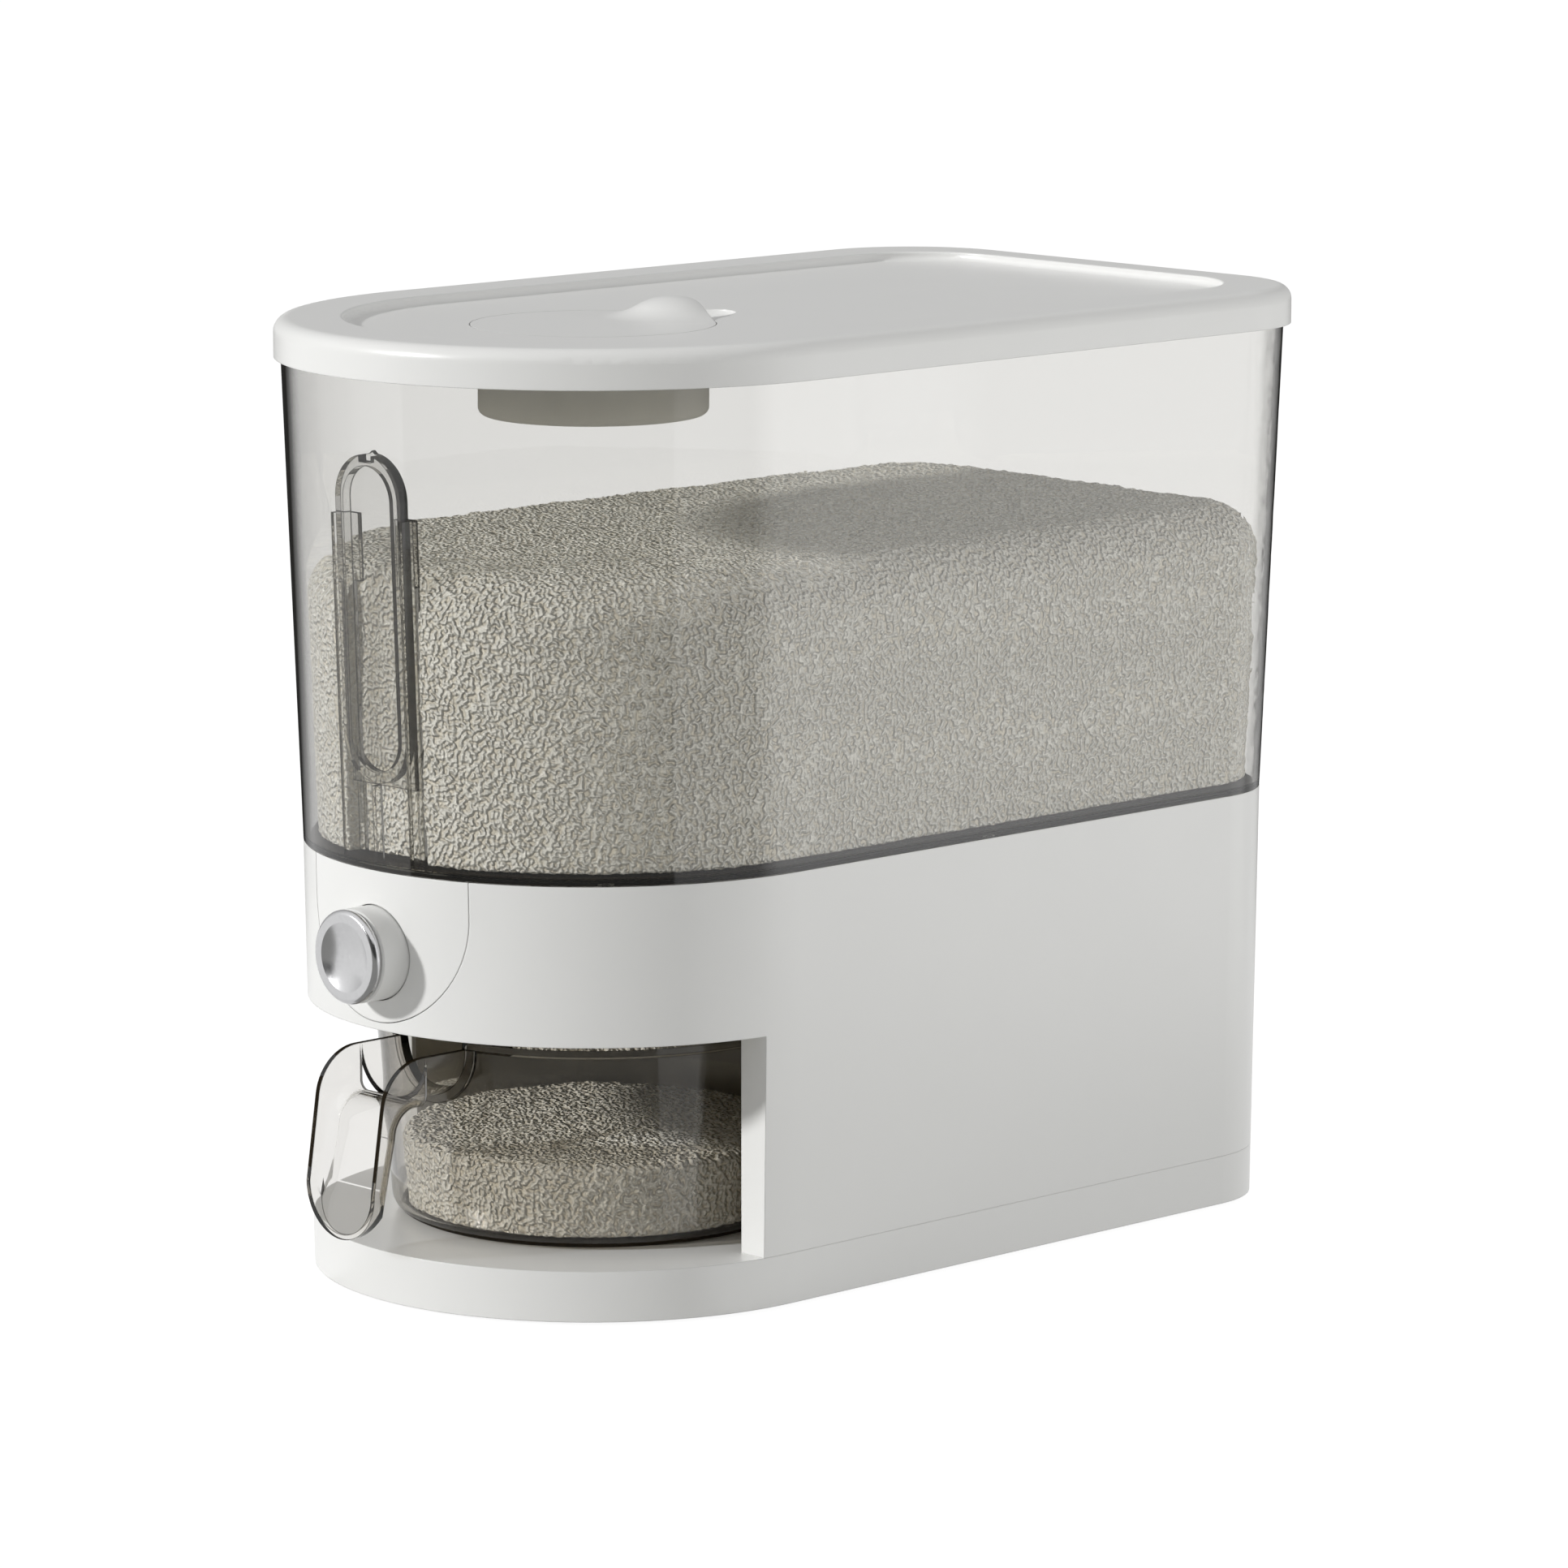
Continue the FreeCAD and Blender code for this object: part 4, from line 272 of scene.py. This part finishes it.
def moulded(name, colour, shade, roughness, edge):
    """A moulded skin: slightly cloudy where the melt flowed, finely grained, with broken edges."""
    flow_length = 0.0714
    unevenness = 0.04
    # Spark-eroded grain is nearer 0.1 mm; it is drawn coarser than that to show at all.
    grain_size = 0.0008
    grain_depth = 0.00002
    made, tree = empty_material(name)
    place = add(tree, "TexCoord").outputs["Object"]
    flow = add(tree, "TexNoise", {"Vector": place, "Scale": 1 / flow_length, "Detail": 2.0}).outputs["Fac"]
    tone = add(tree, "MixRGB", {0: flow, 1: linear(colour), 2: linear(shade)})
    ends = {"To Min": roughness - unevenness, "To Max": roughness + unevenness}
    polish = add(tree, "MapRange", {"Value": flow, **ends})
    grain = add(tree, "TexNoise", {"Vector": place, "Scale": 1 / grain_size, "Detail": 2.0}).outputs["Fac"]
    edges = add(tree, "Bevel", {"Radius": edge}, samples=4)
    relief = {"Strength": 0.06, "Distance": grain_depth, "Height": grain, "Normal": edges}
    bump = add(tree, "Bump", relief)
    finish = {"Base Color": tone, "Roughness": polish, "IOR": 1.53, "Normal": bump}
    skin = add(tree, "BsdfPrincipled", finish)
    add(tree, "OutputMaterial", {"Surface": skin})
    return made


# Satin ABS: a clean, slightly warm white with a soft sheen.  Its rounded edges catch the light
# as thin bright lines.
satin_abs = moulded("satin_moulded_abs", "#E7E7E5", "#E3E3E1", roughness=0.30, edge=0.0006)
dress(part["base_plate"], satin_abs)
dress(part["housing"], satin_abs)

# Soft rubber: mid grey, with hardly any shine.
rubber = moulded("grey_rubber", "#57585A", "#4E4F51", roughness=0.75, edge=0.0006)
dress(part["rubber_feet"], rubber)


# --- Drawer bay, funnel and gate ------------------------------------------------------------
# A round wall closes the bay behind the cup, and its ceiling carries the track of the gate.
# The funnel above leads the rice to the gate's slot.  These are plain ABS mouldings, and the
# gate is acetal, which slides without grease.

# Matt ABS: unpolished, as on faces that nobody sees, so it has no clear highlight.
matt_abs = moulded("matt_moulded_abs", "#E2E2E0", "#DCDCDA", roughness=0.5, edge=0.0004)
dress(part["gate_track"], matt_abs)
dress(part["funnel"], matt_abs)

# The bay lies in deep shade, and its wall is drawn in a warm, dull grey ABS that is painted shade.
bay_painted_shade_abs = moulded("matt_abs_painted_bay_shade", "#B6B1A5", "#AEA99D", roughness=0.45, edge=0.0004)
dress(part["bay_liner"], bay_painted_shade_abs)

# Acetal: a clean white with a waxy gloss.
acetal = moulded("smooth_acetal", "#E8E8E6", "#E2E2E0", roughness=0.25, edge=0.0004)
dress(part["gate_slide"], acetal)


# --- Push button ------------------------------------------------------------------------------
# A plated puck on a hollow plunger, which slides through the front cover into a barrel
# behind it.  The plunger's stem is screwed to the gate, and a wire spring round the stem
# brings both back.


def metal(name, colour, shade, roughness, grain_size):
    """Bare or plated metal, mottled by its grain in colour and polish."""
    duller = 1.3
    brighter = 0.7
    made, tree = empty_material(name)
    place = add(tree, "TexCoord").outputs["Object"]
    grain = add(tree, "TexNoise", {"Vector": place, "Scale": 1 / grain_size, "Detail": 3.0}).outputs["Fac"]
    tone = add(tree, "MixRGB", {0: grain, 1: linear(colour), 2: linear(shade)})
    ends = {"To Min": roughness * brighter, "To Max": roughness * duller}
    polish = add(tree, "MapRange", {"Value": grain, **ends})
    skin = add(tree, "BsdfPrincipled", {"Base Color": tone, "Metallic": 1.0, "Roughness": polish})
    add(tree, "OutputMaterial", {"Surface": skin})
    return made


dress(part["front_cover"], satin_abs)
dress(part["button_body"], satin_abs)
dress(part["button_barrel"], matt_abs)

# Satin chrome: a bright mirror with softened reflections.  Its real grain is far too fine to
# show, so it is drawn 1.7 mm coarse and faint.
chrome = metal("satin_chrome_plating", "#CFCFD0", "#C8C8C9", roughness=0.19, grain_size=0.001667)
dress(part["button_cap"], chrome)

# Drawn steel: grey wire with a dull shine.  The marks of the drawing die are drawn 0.8 mm
# coarse, so that they show.  The spring's rear end stands on the floor of the barrel.
drawn_steel = metal("drawn_spring_steel", "#A8A9AA", "#96979A", roughness=0.28, grain_size=0.000833)
spring = add_object("return_spring_wire", part["return_spring"].data.copy())
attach(spring, "base")
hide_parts("return_spring")
dress(spring, drawn_steel)
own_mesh(spring)


# --- Screws -----------------------------------------------------------------------------------
# Steel screws hold the base plate, the barrel, the track and the hopper, and one holds the
# stem to the gate.  They are zinc-plated against rust.

# Zinc: a bluish grey that shines less than chrome, drawn with crystals of about 1 mm.
zinc = metal("zinc_plated_steel", "#B9BABB", "#A9AAAB", roughness=0.3, grain_size=0.00111)
for name in ("base_screws", "barrel_screws", "track_screws", "hopper_screws", "stem_screw"):
    dress(part[name], zinc)


# --- Hopper and holder ----------------------------------------------------------------------
# The hopper is one thin moulding of clear styrene with a smoky tint, screwed down by the
# flange at its foot.  The holder is a plate of the same, pushed down between the rails on
# the hopper's front, with a raised frame round its window.


def faces(tree, facing, axis):
    """1 on the faces that look along an axis, either way."""
    mostly = 0.6
    turn = add(tree, "Math", {0: facing.outputs[axis]}, operation="ABSOLUTE")
    return add(tree, "Math", {0: turn, 1: mostly}, operation="GREATER_THAN")


def flange_faces(tree, facing, place, inside):
    """Where painted shade goes: the level faces of the flange and the brim, under which the wall is seen
    edge on.
    """
    return faces(tree, facing, "Z")


def window_sides(tree, facing, place, inside):
    """Where painted shade goes: the sides of the holder's window, where they are looked at from inside the
    frame.
    """
    frame_width = 0.0029
    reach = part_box("slide_holder")[1].x - frame_width
    within = add(tree, "Math", {0: place.outputs["X"], 1: 0.0, 2: reach}, operation="COMPARE")
    sides = add(tree, "Math", {0: faces(tree, facing, "X"), 1: inside}, operation="MULTIPLY")
    return add(tree, "Math", {0: sides, 1: within}, operation="MULTIPLY")


def sharp_edges(tree, width):
    """1 along the edges of a wall, where the light that runs inside it doesn't come out; this is where
    painted shade goes.
    """
    rounded = add(tree, "Bevel", {"Radius": width}, samples=6)
    flat = add(tree, "NewGeometry").outputs["True Normal"]
    match = add(tree, "VectorMath", {0: rounded, 1: flat}, operation="DOT_PRODUCT").outputs["Value"]
    match = add(tree, "Math", {0: match}, operation="ABSOLUTE")
    return add(tree, "MapRange", {"Value": match, "From Min": 0.985, "From Max": 0.92})


def clear_styrene(name, density, tint, width, narrow):
    """Clear walls tinted in the mass, with a faint ripple, and painted shade on edges and narrow faces."""
    ripple_length = 0.0357
    darkness = 0.9
    made, tree = empty_material(name)
    rays = add(tree, "LightPath")
    place = add(tree, "TexCoord").outputs["Object"]
    shape = add(tree, "NewGeometry").outputs
    facing = add(tree, "SeparateXYZ", {0: shape["True Normal"]})
    # Painted shade: a mask of edges and narrow faces that are drawn dark.
    painted_shade = narrow(tree, facing, add(tree, "SeparateXYZ", {0: place}), shape["Backfacing"])
    painted_shade = add(tree, "Math", {0: painted_shade, 1: sharp_edges(tree, width)}, operation="MAXIMUM")
    painted_shade = add(tree, "Math", {0: painted_shade, 1: darkness}, operation="MULTIPLY")
    melt = {"Vector": place, "Scale": 1 / ripple_length, "Detail": 1.0}
    ripple = add(tree, "TexNoise", melt).outputs["Fac"]
    polish = add(tree, "MapRange", {"Value": ripple, "To Min": 0.006, "To Max": 0.022})
    wave = add(tree, "Bump", {"Strength": 0.04, "Distance": 0.0004, "Height": ripple})
    finish = {"Base Color": white, "Roughness": polish, "IOR": 1.5, "Transmission Weight": 1.0}
    clear = add(tree, "BsdfPrincipled", {**finish, "Normal": wave})
    # A near-black diffuse is painted shade, laid on the edges and narrow faces.
    edge = add(tree, "BsdfDiffuse", {"Color": linear("#1F180D")})
    body = add(tree, "MixShader", {0: painted_shade, 1: clear, 2: edge})
    # The walls are thin, so light that passes through them to the rice isn't bent.
    shadow_or_diffuse = {0: rays.outputs["Is Shadow Ray"], 1: rays.outputs["Is Diffuse Ray"]}
    passing = add(tree, "Math", shadow_or_diffuse, operation="MAXIMUM")
    straight = add(tree, "BsdfTransparent", {"Color": white})
    both = add(tree, "MixShader", {0: passing, 1: body, 2: straight})
    smoke = add(tree, "VolumeAbsorption", {"Color": linear(tint), "Density": density})
    add(tree, "OutputMaterial", {"Surface": both, "Volume": smoke})
    return made


# Clear styrene: as clear as glass with a warm grey tint, bright reflections, and painted shade
# as dark lines where its walls end.
hopper_styrene = clear_styrene(
    "smoke_tinted_styrene_hopper",
    density=90.0,
    tint="#A39F91",
    width=0.0005,
    narrow=flange_faces,
)
dress(part["hopper"], hopper_styrene)
holder_styrene = clear_styrene(
    "smoke_tinted_styrene_holder",
    density=90.0,
    tint="#A39F91",
    width=0.0005,
    narrow=window_sides,
)
dress(part["slide_holder"], holder_styrene)


# --- Lid, cover and seals -------------------------------------------------------------------
# The lid is pushed on by hand, and a flush disc with a finger tab closes the well in it.
# Both are the satin ABS of the housing.  Rings of soft silicone sit round the plugs of both
# and under the hopper.

dress(part["lid"], satin_abs)
dress(part["desiccant_cover"], satin_abs)

# Silicone: a milky white with a dull, skin-like surface and hardly broken edges.
silicone = moulded("white_silicone", "#E4E4E0", "#DDDDD9", roughness=0.6, edge=0.0002)
for name in ("hopper_seal", "lid_seal", "cover_seal"):
    dress(part[name], silicone)


# --- Box and sachet of the moisture absorber ------------------------------------------------
# A thin polypropylene cup hangs in the lid's well and holds a round sachet of non-woven
# cloth, filled with beads and sealed flat round its edge.


def even_copy(node, name, body, spacing):
    """A copy of a CAD node's solid as a new piece with an even mesh."""
    piece = add_object(name, part[node].data.copy())
    even = piece.modifiers.new("even", "REMESH")
    even.mode = "VOXEL"
    even.voxel_size = spacing
    even.use_smooth_shade = True
    ready = piece.evaluated_get(bpy.context.evaluated_depsgraph_get())
    piece.data = bpy.data.meshes.new_from_object(ready)
    piece.modifiers.clear()
    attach(piece, body)
    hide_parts(node)
    return piece


def press_into_sachet(piece, low, high):
    """Pull the rim in to a flat sealed edge and let the filling crown the middle."""
    shoulder = 2.4
    roundness = 0.6
    puckers = 26.0
    pucker_depth = 0.24
    stray = 2.0
    strays_per_metre = 40.0
    beads_per_metre = 420.0
    bead_height = 0.05
    full = 0.93
    seal = 0.07
    centre = (low + high) / 2
    half = (high.z - low.z) / 2
    reach = (high.x - low.x) / 2
    for vertex in piece.data.vertices:
        place = vertex.co
        away = math.hypot(place.x - centre.x, place.y - centre.y) / reach
        turn = math.atan2(place.y - centre.y, place.x - centre.x)
        crown = max(1.0 - away**shoulder, 0.0) ** roundness
        offset = stray * noise.noise(place * strays_per_metre)
        pucker = 0.5 + 0.5 * math.sin(turn * puckers + offset)
        crown *= 1.0 - pucker_depth * pucker * away**3
        beads = bead_height * noise.noise(place * beads_per_metre)
        side = (place.z - centre.z) / half
        place.z = centre.z + half * side * max(crown * (full + beads), seal)
    piece.data.update()


# Polypropylene with a smoky tint: milky, because it scatters the light that comes through.
# Its moulded grain is drawn 0.7 mm coarse, so that it shows.
cloud_length = 0.0167
grain_size = 0.0007
milkiness = 0.75
milky, tree = empty_material("smoke_tinted_polypropylene")
place = add(tree, "TexCoord").outputs["Object"]
haze = add(tree, "TexNoise", {"Vector": place, "Scale": 1 / cloud_length, "Detail": 2.0}).outputs["Fac"]
tone = add(tree, "MixRGB", {0: haze, 1: linear("#F3F2EE"), 2: linear("#EBEAE6")})
grain = add(tree, "TexNoise", {"Vector": place, "Scale": 1 / grain_size, "Detail": 2.0}).outputs["Fac"]
bump = add(tree, "Bump", {"Strength": 0.1, "Distance": 0.00003, "Height": grain})
skin = add(tree, "BsdfPrincipled", {"Base Color": tone, "Roughness": 0.22, "IOR": 1.49, "Normal": bump})
glow = add(tree, "BsdfTranslucent", {"Color": tone})
both = add(tree, "MixShader", {0: milkiness, 1: skin, 2: glow})
add(tree, "OutputMaterial", {"Surface": both})
dress(part["desiccant_box"], milky)

# Non-woven cloth: a matt white felt of short tangled fibres, pressed in a pattern of cells.
# Both are drawn near 1 mm, coarser than real fibres.
cell_size = 0.00111
tangle_size = 0.000714
non_woven, tree = empty_material("non_woven_sachet_cloth")
place = add(tree, "TexCoord").outputs["Object"]
pattern = {"Vector": place, "Scale": 1 / cell_size}
cells = add(tree, "TexVoronoi", pattern, feature="DISTANCE_TO_EDGE").outputs["Distance"]
fibres = {"Vector": place, "Scale": 1 / tangle_size, "Detail": 4.0}
tangle = add(tree, "TexNoise", fibres).outputs["Fac"]
felt = add(tree, "Math", {0: cells, 1: tangle}, operation="MULTIPLY")
tone = add(tree, "MixRGB", {0: tangle, 1: linear("#D9D8D3"), 2: linear("#F1F0EC")})
bump = add(tree, "Bump", {"Strength": 0.7, "Distance": 0.0002, "Height": felt})
finish = {"Base Color": tone, "Roughness": 0.85, "Sheen Weight": 0.2, "Normal": bump}
skin = add(tree, "BsdfPrincipled", finish)
add(tree, "OutputMaterial", {"Surface": skin})

sachet = even_copy("desiccant_pack", "desiccant_sachet", "desiccant_box", spacing=0.0011)
press_into_sachet(sachet, *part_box("desiccant_pack"))
dress(sachet, non_woven)


# --- Measuring cup ----------------------------------------------------------------------------
# A clear styrene cup with a rolled lip, moulded in one with its handle: a trough that pours
# through a collar in the wall and bends down into a grip.  The cup stands loose on the shelf
# of the base plate and slides out by the grip.


def cup_narrows(tree, facing, place, inside):
    """Where painted shade goes: the free edges of the grip behind the fingers, the top of the trough, and
    the foot.
    """
    low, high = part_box("measuring_cup")
    back = low.y + 0.0035
    half_wall = 0.0028
    grip_half = 0.0167
    edge_half = 0.0012
    lip = high.z - 0.0058
    wall_front = low.y + 0.0473
    foot = low.z + 0.0028
    behind = add(tree, "Math", {0: place.outputs["Y"], 1: back, 2: half_wall}, operation="COMPARE")
    aside = add(tree, "Math", {0: place.outputs["X"]}, operation="ABSOLUTE")
    aside = add(tree, "Math", {0: aside, 1: grip_half, 2: edge_half}, operation="COMPARE")
    grip = add(tree, "Math", {0: behind, 1: aside}, operation="MULTIPLY")
    grip = add(tree, "Math", {0: grip, 1: faces(tree, facing, "Y")}, operation="MULTIPLY")
    top = add(tree, "Math", {0: place.outputs["Z"], 1: lip}, operation="GREATER_THAN")
    ahead = add(tree, "Math", {0: place.outputs["Y"], 1: wall_front}, operation="LESS_THAN")
    trough = add(tree, "Math", {0: top, 1: ahead}, operation="MULTIPLY")
    under = add(tree, "Math", {0: place.outputs["Z"], 1: foot}, operation="LESS_THAN")
    level = add(tree, "Math", {0: under, 1: trough}, operation="ADD")
    level = add(tree, "Math", {0: level, 1: faces(tree, facing, "Z")}, operation="MULTIPLY")
    return add(tree, "Math", {0: grip, 1: level}, operation="MAXIMUM")


# Clear styrene with a deeper, browner tint than the hopper's.
cup_styrene = clear_styrene(
    "smoke_tinted_styrene_cup",
    density=142.0,
    tint="#A39880",
    width=0.0006,
    narrow=cup_narrows,
)
dress(part["measuring_cup"], cup_styrene)


# --- Rice ---------------------------------------------------------------------------------------
# Polished short-grain rice fills the funnel and most of the hopper, and some has dropped
# into the cup.  It lies loose, and its sides are packed smoother than its top.

# Polished rice: dull, creamy white grains, with painted shade in the gaps between them, darker and
# warmer there.  A grain is 2.8 mm wide and spans two cells of the pattern, drawn deeper than real so that
# it shows.
grain_width = 0.0028
rice, tree = empty_material("polished_white_rice")
place = add(tree, "TexCoord").outputs["Object"]
grains = add(tree, "TexNoise", {"Vector": place, "Scale": 2 / grain_width, "Detail": 0.0}).outputs["Fac"]
ridge = add(tree, "MapRange", {"Value": grains, "From Min": 0.26, "From Max": 0.74})
# Painted shade: the gaps between grains are drawn darker and warmer than the tops.
painted_gap_shade = add(tree, "MapRange", {"Value": ridge, "From Min": 0.1, "From Max": 0.6})
tone = add(tree, "MixRGB", {0: painted_gap_shade, 1: linear("#F0E9D8"), 2: linear("#FFFDF4")})
bump = add(tree, "Bump", {"Strength": 1.0, "Distance": 0.0021, "Height": ridge})
finish = {"Base Color": tone, "Roughness": 0.7, "Specular IOR Level": 0.25, "Normal": bump}
skin = add(tree, "BsdfPrincipled", finish)
add(tree, "OutputMaterial", {"Surface": skin})


def roughen_into_grains(piece, pressed, loose):
    """Sink the surface between grains: shallow where a wall presses them, deep on top."""
    lumps_per_metre = 560.0
    lump_share = 0.9
    heaps_per_metre = 45.0
    heap_share = 0.5
    mesh = piece.data
    sinks = []
    for vertex in mesh.vertices:
        place = vertex.co
        lumps = noise.noise(place * lumps_per_metre)
        heap = noise.noise(place * heaps_per_metre)
        up = max(vertex.normal.z, 0.0) ** 2
        depth = pressed + (loose - pressed) * up
        sinks.append(vertex.normal * (depth * (lumps * lump_share + heap * heap_share - 1.0)))
    for vertex, sink in zip(mesh.vertices, sinks):
        vertex.co += sink
    mesh.update()


for node, name, body, spacing in (
    ("hopper_rice", "rice_in_hopper", "base", 0.0014),
    ("cup_rice", "rice_in_cup", "drawer", 0.0007),
):
    heap = even_copy(node, name, body, spacing)
    roughen_into_grains(heap, pressed=0.0006, loose=0.0011)
    dress(heap, rice)
